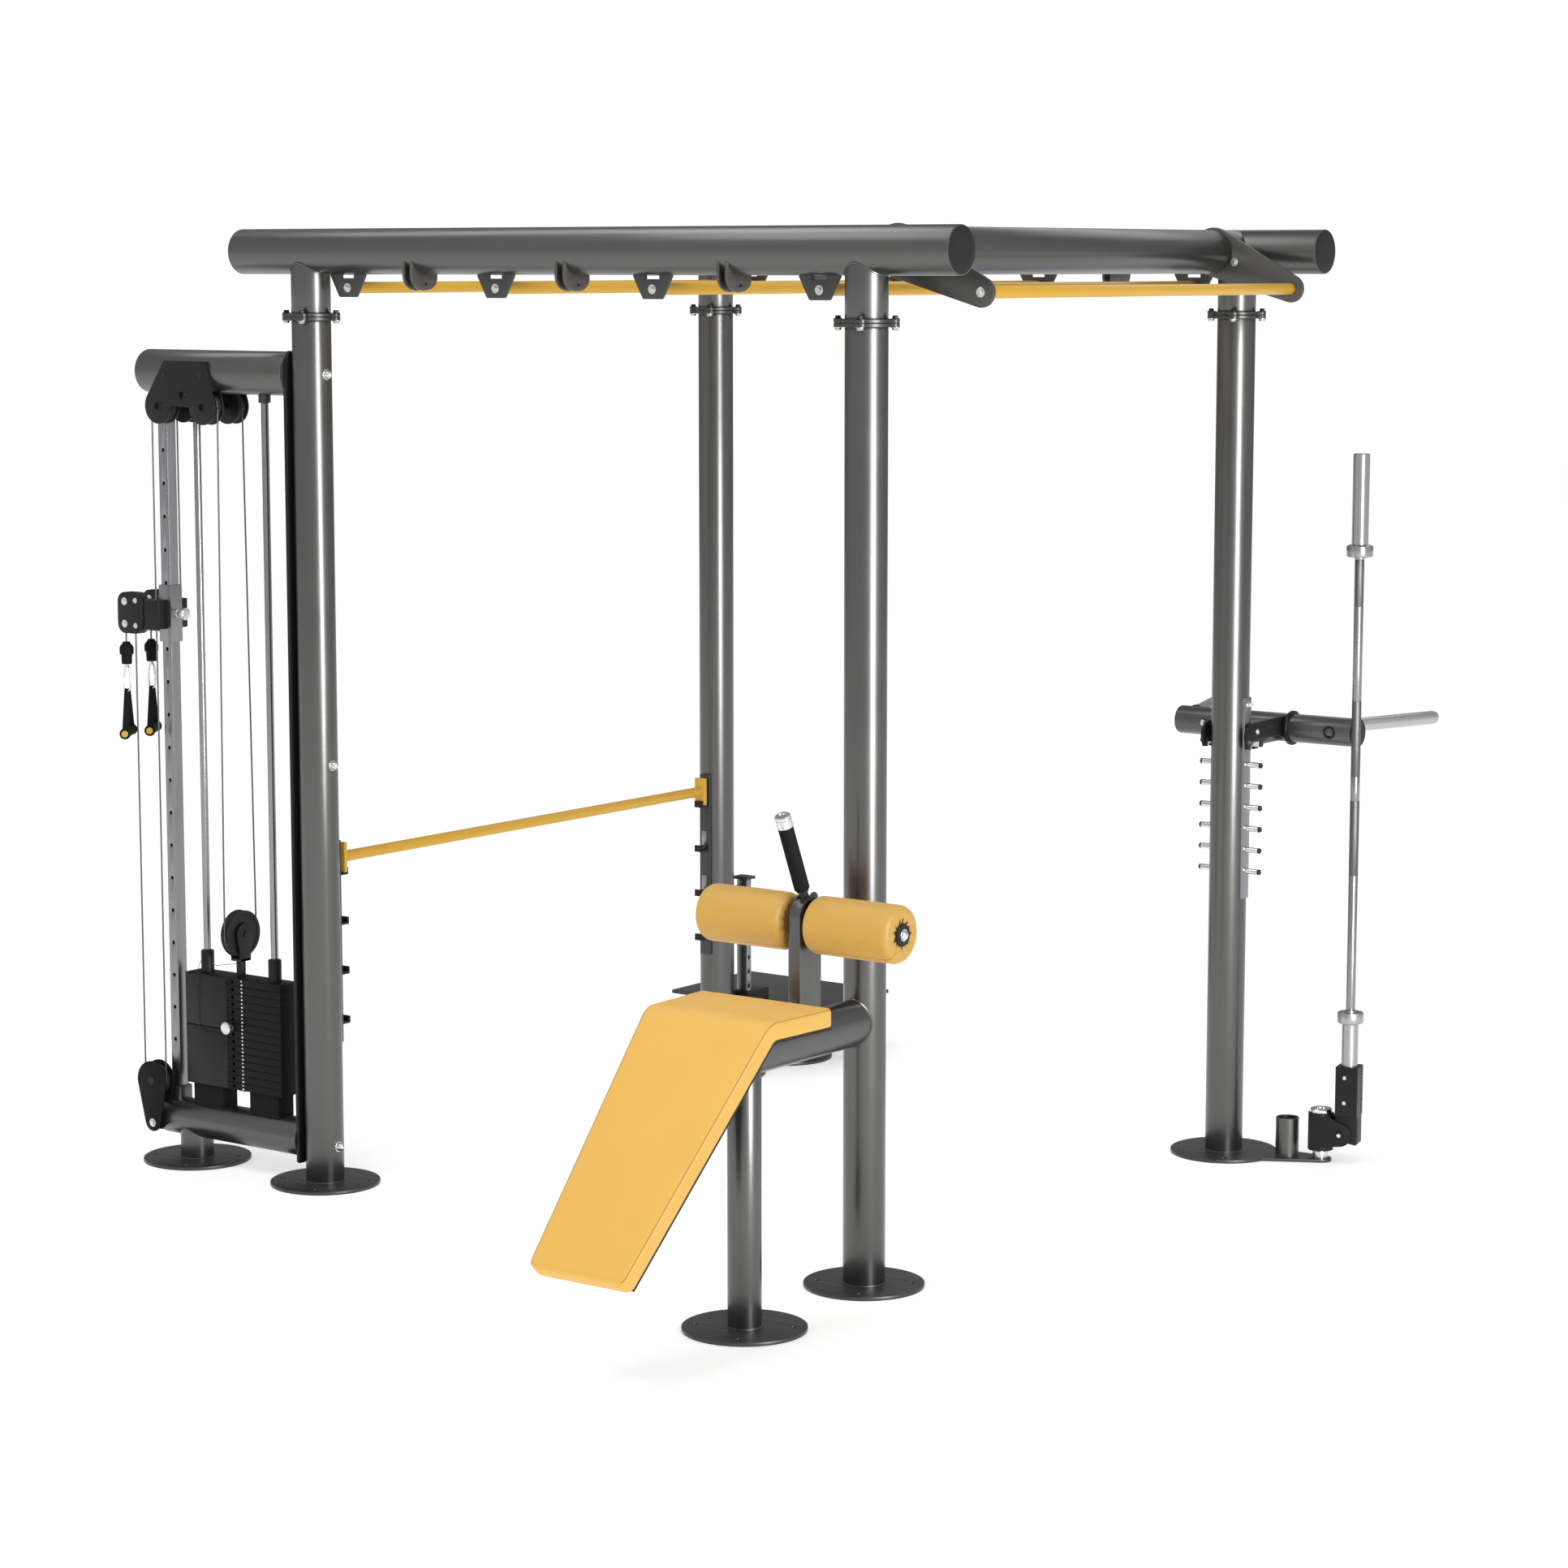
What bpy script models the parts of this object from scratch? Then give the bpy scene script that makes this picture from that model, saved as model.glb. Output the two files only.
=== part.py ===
"""Cable crossover station on a four-post gym rig, with its bench, dip bar, step and pivoting barbell.

Metres, +Z up, floor at z = 0.  The posts stand on a rectangle: "front" is -Y, "right" is +X, and
every dimension below is taken from the foot of the front right post.  centre_on_plan() then
moves the whole rig so that the origin lies on the floor under the middle of its outline.
"""

import math

import bmesh
import bpy
from mathutils import Matrix, Vector

# ---- driving dimensions -------------------------------------------------------------------
SPAN_X = 1.965          # post to post along the front and rear beams
SPAN_Y = 1.94           # post to post along the side beams
POST_R = 0.05715        # 114.3 mm tube
BEAM_R = 0.0655         # 131 mm tube
BEAM_Z = 2.758          # beam centre height
JOINT_Z = 2.5705        # where a beam's stub meets its post
LEFT_END = 0.267        # beam overhang past the left posts
RIGHT_END = 0.295       # beam overhang past the right posts
COLLAR_R = 0.069        # clamp collar under each beam stub
COLLAR_T = 0.0105       # thickness of one collar half
EAR_REACH = 0.088       # a collar ear's tip from the post's axis
EAR_HALF = 0.012        # half an ear's width
EAR_TURNS = (-68, 22, 112, 202)
DISC_R = 0.1635         # foot plate radius
DISC_T = 0.010          # foot plate thickness
GAP = 0.0003            # clearance between touching pieces
TUBE = 24               # sides of a frame tube
ROUND = 20              # sides of a smaller round piece

RUNG_R = 0.0165
RUNG_Z = 2.655
RUNG_PITCH = 0.556
ARM_Y = 0.1435          # arm plate's distance from a beam's axis
ARM_T = 0.012
OUTRIGGER_X = 0.263
OUTRIGGER_Z = 2.650

BAR_Z = 0.975           # adjustable crossbar height
HOOK_Y = 0.092          # hook rail lugs' distance from a left post's axis
HOOK_PITCH = 0.15

STACK_X = -SPAN_X - 0.332      # middle of the weight stack
ROD_OFFSET = 0.140
ROD_R = 0.011
COLUMN_X = -SPAN_X - 0.598
COLUMN_W = 0.038
STATION_BEAM_Z = 2.405
STATION_BEAM_R = 0.0645
STATION_END = -SPAN_X - 0.664
FLOOR_TUBE_Z = 0.129
STATION_FOOT_X = -SPAN_X - 0.532
PLATE_W = 0.394
PLATE_D = 0.080
PLATE_T = 0.0228
PLATE_COUNT = 15
LIFTED_COUNT = 7               # plates above the selector pin
STACK_Z = 0.248                # underside of the lowest plate
CABLE_R = 0.0025
CABLE_Y = 0.052                # the two cable planes lie this far each side of the column
WHEEL_OUTER = 0.0475
GROOVE = 0.008
CABLE_CLEAR = CABLE_R + 0.0022  # a cable's centre above the groove's floor
CABLE_RIDE = WHEEL_OUTER - GROOVE + CABLE_CLEAR
HOUSING_R = 0.053
TOP_WHEEL_Z = 2.303
OUTER_WHEEL_X = -SPAN_X - 0.562
INNER_WHEEL_X = -SPAN_X - 0.3785
LOW_WHEEL_X = -SPAN_X - 0.6515
LOW_WHEEL_Z = 0.241
LIFT_WHEEL_Z = 0.722
LIFT_WHEEL_R = 0.071
CARRIAGE_Z = 1.677
CARRIAGE_H = 0.172
CARRIAGE_W = 0.0485
BLOCK_X = -SPAN_X - 0.705      # middle of a carriage wheel block
HANDLE_X = -SPAN_X - 0.737
GRIP_TURN = math.radians(-54)  # how the hanging grips have swung, from +X

BENCH_TUBE_Z = 0.7265
BENCH_TUBE_R = 0.062
BENCH_LEG_Y = -0.536
BENCH_LEG_R = 0.04445
ROLLER_POST_Y = -0.2725
ROLLER_Z = 1.026
ROLLER_R = 0.079
ROLLER_IN = 0.034
ROLLER_OUT = 0.320

DIP_Y = SPAN_Y + 0.23
DIP_Z = 1.305
DIP_R = 0.0435
DIP_HALF = 0.334
PEG_R = 0.0085
PEG_PITCH = 0.0655
PEG_TOP_Z = 1.278

STEP_Z = 0.220
RAIL_X = -SPAN_X + 0.035
RAIL_Y = SPAN_Y + 0.105

TONGUE_ANGLE = math.radians(13.6)      # the barbell pivot's tongue, turned from +X towards +Y
TONGUE = Vector((math.cos(TONGUE_ANGLE), math.sin(TONGUE_ANGLE)))
CORNER = Vector((0.0, SPAN_Y))
SOCKET = CORNER + 0.2015 * TONGUE
SWIVEL = CORNER + 0.3066 * TONGUE
TILT = CORNER + 0.3735 * TONGUE
BAR = CORNER + 0.3920 * TONGUE
TILT_Z = 0.092
BAR_TOP = 2.162

FRONT_RIGHT = Vector((0.0, 0.0, 0.0))
FRONT_LEFT = Vector((-SPAN_X, 0.0, 0.0))
REAR_RIGHT = Vector((0.0, SPAN_Y, 0.0))
REAR_LEFT = Vector((-SPAN_X, SPAN_Y, 0.0))

X_AXIS = Vector((1.0, 0.0, 0.0))
Y_AXIS = Vector((0.0, 1.0, 0.0))
Z_AXIS = Vector((0.0, 0.0, 1.0))


# ---- scene and materials ------------------------------------------------------------------
def clear_scene():
    for item in list(bpy.data.objects):
        bpy.data.objects.remove(item, do_unlink=True)


def new_collection(name):
    collection = bpy.data.collections.new(name)
    bpy.context.scene.collection.children.link(collection)
    return collection


def new_material(name, colour, roughness, metallic):
    material = bpy.data.materials.new(name)
    material.use_nodes = True
    shader = material.node_tree.nodes["Principled BSDF"]
    shader.inputs["Base Color"].default_value = (*colour, 1.0)
    shader.inputs["Roughness"].default_value = roughness
    shader.inputs["Metallic"].default_value = metallic
    return material


FINISHES = {
    "frame": ((0.13, 0.125, 0.125), 0.35, 0.6),
    "black": ((0.02, 0.02, 0.02), 0.45, 0.1),
    "yellow": ((0.75, 0.45, 0.07), 0.35, 0.0),
    "pad": ((0.88, 0.56, 0.14), 0.6, 0.0),
    "chrome": ((0.75, 0.75, 0.77), 0.15, 1.0),
    "rubber": ((0.03, 0.03, 0.03), 0.8, 0.0),
    "iron": ((0.04, 0.04, 0.04), 0.6, 0.2),
    "cable": ((0.25, 0.25, 0.25), 0.4, 0.5),
}


# ---- basic solids -------------------------------------------------------------------------
def mesh_object(label, mesh):
    """A working object in the tools collection; finish() makes it a part."""
    item = bpy.data.objects.new(label, mesh)
    TOOLS.objects.link(item)
    item.hide_render = True
    item.display_type = "WIRE"
    return item


def box(low, high):
    mesh = bpy.data.meshes.new("box")
    shape = bmesh.new()
    bmesh.ops.create_cube(shape, size=1.0)
    size = [b - a for a, b in zip(low, high)]
    middle = [(a + b) / 2 for a, b in zip(low, high)]
    bmesh.ops.scale(shape, vec=size, verts=shape.verts)
    bmesh.ops.translate(shape, vec=middle, verts=shape.verts)
    shape.to_mesh(mesh)
    shape.free()
    return mesh_object("box", mesh)


def rod(start, end, radius, sides=ROUND, end_radius=None):
    """A cylinder or cone from start to end."""
    start, end = Vector(start), Vector(end)
    along = end - start
    mesh = bpy.data.meshes.new("rod")
    shape = bmesh.new()
    bmesh.ops.create_cone(
        shape, cap_ends=True, segments=sides, radius1=radius,
        radius2=radius if end_radius is None else end_radius, depth=along.length)
    turn = Z_AXIS.rotation_difference(along).to_matrix().to_4x4()
    bmesh.ops.transform(shape, matrix=Matrix.Translation((start + end) / 2) @ turn, verts=shape.verts)
    shape.to_mesh(mesh)
    shape.free()
    return mesh_object("rod", mesh)


def turned(centre, axis, profile, sides=ROUND):
    """A solid of revolution: profile is (distance along axis, radius), with its ends on the axis."""
    mesh = bpy.data.meshes.new("turned")
    shape = bmesh.new()
    points = [shape.verts.new((radius, 0.0, along)) for along, radius in profile]
    edges = [shape.edges.new(pair) for pair in zip(points, points[1:])]
    bmesh.ops.spin(shape, geom=points + edges, cent=(0, 0, 0), axis=(0, 0, 1),
                   angle=math.tau, steps=sides, use_merge=True, use_duplicate=False)
    bmesh.ops.remove_doubles(shape, verts=shape.verts, dist=0.00001)
    bmesh.ops.recalc_face_normals(shape, faces=shape.faces)
    turn = Z_AXIS.rotation_difference(Vector(axis)).to_matrix().to_4x4()
    bmesh.ops.transform(shape, matrix=Matrix.Translation(Vector(centre)) @ turn, verts=shape.verts)
    shape.to_mesh(mesh)
    shape.free()
    return mesh_object("turned", mesh)


def turned_to(item, matrix):
    """Move a working object's mesh, leaving its origin where it is."""
    item.data.transform(matrix)
    return item


def circle(centre, radius, steps=16):
    return [(centre[0] + radius * math.cos(math.tau * i / steps),
             centre[1] + radius * math.sin(math.tau * i / steps)) for i in range(steps)]


def wrap(points):
    """The convex outline around a set of 2D points, anticlockwise."""
    points = sorted(set((round(x, 6), round(y, 6)) for x, y in points))

    def half(ordered):
        chain = []
        for p in ordered:
            while len(chain) > 1:
                (ax, ay), (bx, by) = chain[-2], chain[-1]
                if (bx - ax) * (p[1] - ay) - (by - ay) * (p[0] - ax) > 1e-9:
                    break
                chain.pop()
            chain.append(p)
        return chain[:-1]

    return half(points) + half(points[::-1])


# How a flat outline's own x, y and thickness directions lie for each normal.
PLANES = {
    "X": Matrix(((0, 0, 1), (1, 0, 0), (0, 1, 0))),
    "Y": Matrix(((1, 0, 0), (0, 0, 1), (0, 1, 0))),
    "Z": Matrix(((1, 0, 0), (0, 1, 0), (0, 0, 1))),
}


def flat(points, normal, low, high):
    """A plate: a closed 2D outline, in (Y, Z), (X, Z) or (X, Y), between two heights on its normal."""
    curve = bpy.data.curves.new("outline", "CURVE")
    curve.dimensions = "2D"
    curve.fill_mode = "BOTH"
    curve.extrude = (high - low) / 2
    spline = curve.splines.new("POLY")
    spline.points.add(len(points) - 1)
    for point, (x, y) in zip(spline.points, points):
        point.co = (x, y, 0.0, 1.0)
    spline.use_cyclic_u = True
    guide = bpy.data.objects.new("outline", curve)
    TOOLS.objects.link(guide)
    bpy.context.view_layer.update()
    mesh = bpy.data.meshes.new_from_object(guide.evaluated_get(bpy.context.evaluated_depsgraph_get()))
    bpy.data.objects.remove(guide, do_unlink=True)
    shape = bmesh.new()
    shape.from_mesh(mesh)
    bmesh.ops.remove_doubles(shape, verts=shape.verts, dist=0.00001)
    bmesh.ops.translate(shape, vec=(0, 0, (low + high) / 2), verts=shape.verts)
    bmesh.ops.transform(shape, matrix=PLANES[normal].to_4x4(), verts=shape.verts)
    bmesh.ops.recalc_face_normals(shape, faces=shape.faces)
    shape.to_mesh(mesh)
    shape.free()
    return mesh_object("plate", mesh)


def wire(points, radius):
    """A round cable or bent rod through a list of points, with filled ends."""
    curve = bpy.data.curves.new("wire", "CURVE")
    curve.dimensions = "3D"
    curve.bevel_depth = radius
    curve.bevel_resolution = 1
    curve.use_fill_caps = True
    spline = curve.splines.new("POLY")
    spline.points.add(len(points) - 1)
    for point, place in zip(spline.points, points):
        point.co = (*place, 1.0)
    guide = bpy.data.objects.new("wire", curve)
    TOOLS.objects.link(guide)
    bpy.context.view_layer.update()
    mesh = bpy.data.meshes.new_from_object(guide.evaluated_get(bpy.context.evaluated_depsgraph_get()))
    bpy.data.objects.remove(guide, do_unlink=True)
    shape = bmesh.new()
    shape.from_mesh(mesh)
    bmesh.ops.remove_doubles(shape, verts=shape.verts, dist=0.00001)
    bmesh.ops.recalc_face_normals(shape, faces=shape.faces)
    shape.to_mesh(mesh)
    shape.free()
    return mesh_object("wire", mesh)


def arc(centre, radius, start, end, steps, plane="XZ", across=0.0):
    """Points along an arc; angles in degrees, anticlockwise from the plane's first axis."""
    points = []
    for i in range(steps + 1):
        angle = math.radians(start + (end - start) * i / steps)
        u = centre[0] + radius * math.cos(angle)
        w = centre[1] + radius * math.sin(angle)
        points.append((u, across, w) if plane == "XZ" else (across, u, w))
    return points


def finish(name, finish_name, base, add=(), cut=(), origin=None):
    """Make base a named part: tools are united with it or cut from it by Booleans."""
    for tool, operation in [(t, "UNION") for t in add] + [(t, "DIFFERENCE") for t in cut]:
        change = base.modifiers.new(operation.lower(), "BOOLEAN")
        change.operation = operation
        change.solver = "EXACT"
        change.object = tool
    base.name = name
    base.data.name = name
    TOOLS.objects.unlink(base)
    PARTS.objects.link(base)
    base.hide_render = False
    base.display_type = "TEXTURED"
    base.data.materials.append(MATERIALS[finish_name])
    base.data.shade_smooth()
    base.data.set_sharp_from_angle(angle=math.radians(35))
    if origin is not None:
        base.data.transform(Matrix.Translation(-Vector(origin)))
        base.location = origin
    return base


# ---- four-post frame ----------------------------------------------------------------------
def foot(centre, radius=DISC_R):
    return rod((centre[0], centre[1], 0.0), (centre[0], centre[1], DISC_T), radius, 32)


def collar(x, y, low, high):
    """One half of a post's clamp collar: a ring with four bolt ears."""
    made = [rod((x, y, low), (x, y, high), COLLAR_R)]
    for degrees in EAR_TURNS:
        turn = Matrix.Rotation(math.radians(degrees), 2)
        corners = [turn @ Vector(corner) for corner in
                   ((0.03, -EAR_HALF), (EAR_REACH, -EAR_HALF), (EAR_REACH, EAR_HALF), (0.03, EAR_HALF))]
        made.append(flat([(x + corner.x, y + corner.y) for corner in corners], "Z", low, high))
    return made


def post(name, place, add=(), cut=()):
    """A post with its foot plate and the lower half of its clamp collar."""
    x, y = place.x, place.y
    ring = collar(x, y, JOINT_Z - COLLAR_T, JOINT_Z)
    base = rod((x, y, 0.0), (x, y, JOINT_Z), POST_R, TUBE)
    return finish(name, "frame", base, [foot((x, y)), *ring, *add], cut)


def hook_lugs(place, side):
    """A rail on the inner face of a left post with three lugs for the crossbar; side is +1 or -1."""
    x, y = place.x, place.y
    rail_y = sorted((y + side * (POST_R - 0.006), y + side * (POST_R + 0.012)))
    rail = box((x - 0.020, rail_y[0], 0.42), (x + 0.020, rail_y[1], 1.03))
    lugs = []
    for i in range(4):
        z = BAR_Z - 0.045 - i * HOOK_PITCH
        shelf_y = sorted((y + side * POST_R, y + side * (HOOK_Y + 0.012)))
        lip_y = sorted((y + side * (HOOK_Y + 0.004), y + side * (HOOK_Y + 0.012)))
        lugs.append(box((x - 0.016, shelf_y[0], z - 0.008), (x + 0.016, shelf_y[1], z)))
        lugs.append(box((x - 0.016, lip_y[0], z - 0.004), (x + 0.016, lip_y[1], z + 0.014)))
    return [rail, *lugs]


def posts():
    dome_bolts = [rod((-SPAN_X + POST_R - 0.004, 0, z), (-SPAN_X + POST_R + 0.018, 0, z), 0.017, 16)
                  for z in (0.118, 1.262, 2.405)]
    post("post_front_left", FRONT_LEFT, hook_lugs(FRONT_LEFT, 1) + dome_bolts)
    post("post_front_right", FRONT_RIGHT)
    second_foot = foot((-SPAN_X + 0.02, SPAN_Y + 0.36))
    link = box((-SPAN_X - 0.03, SPAN_Y, 0.0), (-SPAN_X + 0.07, SPAN_Y + 0.36, DISC_T))
    post("post_rear_left", REAR_LEFT, [*hook_lugs(REAR_LEFT, -1), second_foot, link])
    step_rail()
    pegs = [rod((-0.100, SPAN_Y, PEG_TOP_Z - i * PEG_PITCH), (0.112, SPAN_Y, PEG_TOP_Z - i * PEG_PITCH),
                PEG_R, 12) for i in range(7)]
    strip = box((POST_R - 0.010, SPAN_Y - 0.019, 0.800), (POST_R + 0.005, SPAN_Y + 0.019, 1.418))
    post("post_rear_right", REAR_RIGHT, [strip, *pegs])


def rung_bracket(x, y):
    """A slotted trapezoid under a beam that takes one rung's end."""
    outline = [(x - 0.066, BEAM_Z - 0.045), (x - 0.066, BEAM_Z - 0.069), (x - 0.031, RUNG_Z - 0.027),
               (x + 0.031, RUNG_Z - 0.027), (x + 0.066, BEAM_Z - 0.069), (x + 0.066, BEAM_Z - 0.045)]
    return flat(outline, "Y", y - 0.005, y + 0.005)


def hook_plates(x, y, side):
    """A pair of saddle plates with a pin hole, for hanging straps and bags."""
    profile = [(-0.058, 2.742), (-0.044, 2.742), (0.030, 2.706), (0.046, 2.700), (0.050, 2.684),
               (0.042, 2.664), (0.020, 2.651), (-0.012, 2.648), (-0.040, 2.654), (-0.058, 2.672),
               (-0.062, 2.700)]
    points = [(y - side * a, b) for a, b in profile]
    return [flat(points, "X", x + s - 0.0035, x + s + 0.0035) for s in (-0.014, 0.014)]


def top_beam(name, y, side):
    """A cross beam with stubs, rung brackets and hook plates; side is -1 in front, +1 behind."""
    base = rod((-SPAN_X - LEFT_END, y, BEAM_Z), (RIGHT_END, y, BEAM_Z), BEAM_R, TUBE)
    add, cut = [], []
    for x in (0.0, -SPAN_X):
        add.append(rod((x, y, JOINT_Z + GAP), (x, y, BEAM_Z), POST_R, TUBE))
        add.extend(collar(x, y, JOINT_Z + GAP, JOINT_Z + COLLAR_T))
        end = y - side * (ARM_Y - ARM_T / 2 - GAP)
        add.append(rod((x, y, BEAM_Z), (x, end, BEAM_Z), BEAM_R - 0.0012, TUBE))
    for i in range(4):
        x = -SPAN_X / 2 + (i - 1.5) * RUNG_PITCH
        add.append(rung_bracket(x, y))
        cut.append(box((x - 0.024, y - 0.02, BEAM_Z - 0.076), (x + 0.024, y + 0.02, BEAM_Z - 0.0665)))
    for i in range(3):
        x = -SPAN_X / 2 + (i - 1) * RUNG_PITCH
        add.extend(hook_plates(x, y, side))
        cut.append(rod((x - 0.03, y, 2.667), (x + 0.03, y, 2.667), 0.005, 8))
    finish(name, "frame", base, add, cut)


def side_beam(name, x):
    clear = ARM_Y + ARM_T / 2 + GAP
    base = rod((x, clear, BEAM_Z), (x, SPAN_Y - clear, BEAM_Z), BEAM_R - 0.0012, TUBE)
    finish(name, "frame", base)


def flange_arm(name, x, y, tip_x):
    """The plate between a beam's stub and a side beam; on the right it reaches out to the pull-up bar."""
    hub = circle((x, BEAM_Z), 0.0715, TUBE)
    tip = circle((tip_x, OUTRIGGER_Z), 0.040)
    finish(name, "frame", flat(wrap(hub + tip), "Y", y - ARM_T / 2, y + ARM_T / 2))


def overhead():
    top_beam("top_beam_front", 0.0, -1)
    top_beam("top_beam_rear", SPAN_Y, 1)
    side_beam("side_beam_right", 0.0)
    side_beam("side_beam_left", -SPAN_X)
    flange_arm("outrigger_arm_front", 0.0, ARM_Y, OUTRIGGER_X)
    flange_arm("outrigger_arm_rear", 0.0, SPAN_Y - ARM_Y, OUTRIGGER_X)
    for i in range(4):
        x = -SPAN_X / 2 + (i - 1.5) * RUNG_PITCH
        finish(f"rung_{i + 1}", "yellow",
               rod((x, 0.005 + GAP, RUNG_Z), (x, SPAN_Y - 0.005 - GAP, RUNG_Z), RUNG_R, 16))
    inner = ARM_Y + ARM_T / 2 + GAP
    finish("outrigger_bar", "yellow", rod((OUTRIGGER_X, inner, OUTRIGGER_Z),
                                          (OUTRIGGER_X, SPAN_Y - inner, OUTRIGGER_Z), RUNG_R, 16))


def crossbar():
    """The yellow bar that drops into the hook lugs of the left posts."""
    x, near, far = -SPAN_X, HOOK_Y, SPAN_Y - HOOK_Y
    base = rod((x, near, BAR_Z), (x, far, BAR_Z), RUNG_R, 16)
    ends = []
    for y, side in ((near, 1), (far, -1)):
        low_y, high_y = sorted((y - side * 0.0095, y + side * 0.0035))
        ends.append(box((x - 0.021, low_y, BAR_Z - 0.045 + GAP), (x + 0.021, high_y, BAR_Z + 0.045)))
    finish("crossbar", "yellow", base, ends)


# ---- weight station -----------------------------------------------------------------------
def station_frame():
    face = -SPAN_X - POST_R
    plate = [(-0.050, 0.060), (0.050, 0.060), (0.050, 2.420), (0.036, 2.472), (-0.036, 2.472),
             (-0.050, 2.420)]
    finish("station_side_plate", "black", flat(plate, "X", face - 0.012, face - GAP))
    inner = face - 0.012 - GAP
    top = rod((STATION_END, 0, STATION_BEAM_Z), (inner, 0, STATION_BEAM_Z), STATION_BEAM_R, TUBE)
    socket = rod((COLUMN_X, 0, STATION_BEAM_Z), (COLUMN_X, 0, 2.330), 0.0315)
    cups = [rod((STACK_X + s * ROD_OFFSET, 0, STATION_BEAM_Z), (STACK_X + s * ROD_OFFSET, 0, 2.318),
                0.018, 16)
            for s in (-1, 1)]
    bores = [rod((STACK_X + s * ROD_OFFSET, 0, 2.36), (STACK_X + s * ROD_OFFSET, 0, 2.30), ROD_R + GAP,
                 16)
             for s in (-1, 1)]
    finish("station_top_beam", "frame", top, [socket, *cups], bores)
    lower = rod((-SPAN_X - 0.640, 0, FLOOR_TUBE_Z), (inner, 0, FLOOR_TUBE_Z), POST_R, TUBE)
    stub = rod((STATION_FOOT_X, 0, 0), (STATION_FOOT_X, 0, FLOOR_TUBE_Z), 0.0505)
    half = COLUMN_W / 2 + 0.006
    seat = box((COLUMN_X - half, -half, 0.150), (COLUMN_X + half, half, 0.225))
    finish("station_base", "frame", lower, [stub, seat, foot((STATION_FOOT_X, 0))])


def column():
    half = COLUMN_W / 2
    base = box((COLUMN_X - half, -half, 0.225 + GAP), (COLUMN_X + half, half, 2.330 - GAP))
    holes = [rod((COLUMN_X, -half - 0.01, 0.369 + i * 0.1), (COLUMN_X, -half + 0.012, 0.369 + i * 0.1),
                 0.005, 8)
             for i in range(19)]
    finish("station_column", "chrome", base, cut=holes)


def guide_rods():
    """Each rod with the rubber buffer that it stands in, under the stack."""
    for name, s in (("guide_rod_outer", -1), ("guide_rod_inner", 1)):
        x = STACK_X + s * ROD_OFFSET
        middle = STACK_X + s * 0.117
        block = box((middle - 0.060, -0.033, 0.150), (middle + 0.060, 0.033, STACK_Z - GAP))
        tube_cut = rod((middle - 0.1, 0, FLOOR_TUBE_Z), (middle + 0.1, 0, FLOOR_TUBE_Z), POST_R + GAP,
                       TUBE)
        base = rod((x, 0, 0.2), (x, 0, 2.36 - GAP), ROD_R, 16)
        finish(name, "chrome", base, [block], [tube_cut])


def plate_outline(count, low, top_extra):
    """Side view of a pile of weight plates, with a fine groove between plates."""
    half, groove, nick = PLATE_W / 2, 0.0012, 0.003
    right = []
    for i in range(count):
        z0 = low + i * PLATE_T
        right += [(STACK_X + half, z0 + groove), (STACK_X + half, z0 + PLATE_T - groove)]
        if i < count - 1:
            right += [(STACK_X + half - nick, z0 + PLATE_T)]
    right[-1] = (STACK_X + half, low + count * PLATE_T + top_extra)
    right[0] = (STACK_X + half, low)
    left = [(2 * STACK_X - x, z) for x, z in right[::-1]]
    return right + left


def stack():
    half_d = PLATE_D / 2
    low_count = PLATE_COUNT - LIFTED_COUNT
    split = STACK_Z + low_count * PLATE_T
    rods = [rod((STACK_X + s * ROD_OFFSET, 0, 0.1), (STACK_X + s * ROD_OFFSET, 0, 1.0), ROD_R + 0.0012,
                16)
            for s in (-1, 1)]
    stem_hole = rod((STACK_X, 0, 0.1), (STACK_X, 0, split + 0.001), 0.0145, 16)
    low = flat(plate_outline(low_count, STACK_Z, -GAP), "Y", -half_d, half_d)
    finish("weight_plates_lower", "iron", low, cut=[*rods, stem_hole])
    high = flat(plate_outline(LIFTED_COUNT, split, 0.0), "Y", -half_d, half_d)
    top = STACK_Z + PLATE_COUNT * PLATE_T
    stem = rod((STACK_X, 0, STACK_Z - 0.012), (STACK_X, 0, split + 0.03), 0.0125, 16)
    sleeves = [rod((STACK_X + s * ROD_OFFSET, 0, top - 0.01), (STACK_X + s * ROD_OFFSET, 0, top + 0.067),
                   0.0200)
               for s in (-1, 1)]
    neck = rod((STACK_X, 0, top - 0.01), (STACK_X, 0, LIFT_WHEEL_Z - LIFT_WHEEL_R - 0.012), 0.014, 16)
    pin_z = split + PLATE_T / 2
    bore = rod((STACK_X, -half_d - 0.01, pin_z), (STACK_X, 0.02, pin_z), 0.0055, 16)
    finish("weight_plates_lifted", "iron", high, [stem, neck, *sleeves], [*rods, bore])
    shaft = rod((STACK_X, -half_d - 0.020, pin_z), (STACK_X, 0.012, pin_z), 0.0050, 16)
    knob = turned((STACK_X, -half_d - 0.036, pin_z), (0, 1, 0),
                  [(0, 0), (0, 0.015), (0.003, 0.019), (0.018, 0.019), (0.021, 0.013),
                   (0.035 - GAP, 0.013),
                   (0.035 - GAP, 0)])
    finish("selector_pin", "chrome", knob, [shaft], origin=(STACK_X, -half_d, pin_z))


def grooved_wheel(name, centre, axis, radius, width, bore):
    """A cable wheel with a V groove, turned about its own axle."""
    half = width / 2
    profile = [(-half, bore), (-half, radius), (-half * 0.7, radius), (0, radius - GROOVE),
               (half * 0.7, radius), (half, radius), (half, bore), (-half, bore)]
    return finish(name, "rubber", turned(centre, axis, profile, 16), origin=centre)


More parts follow.
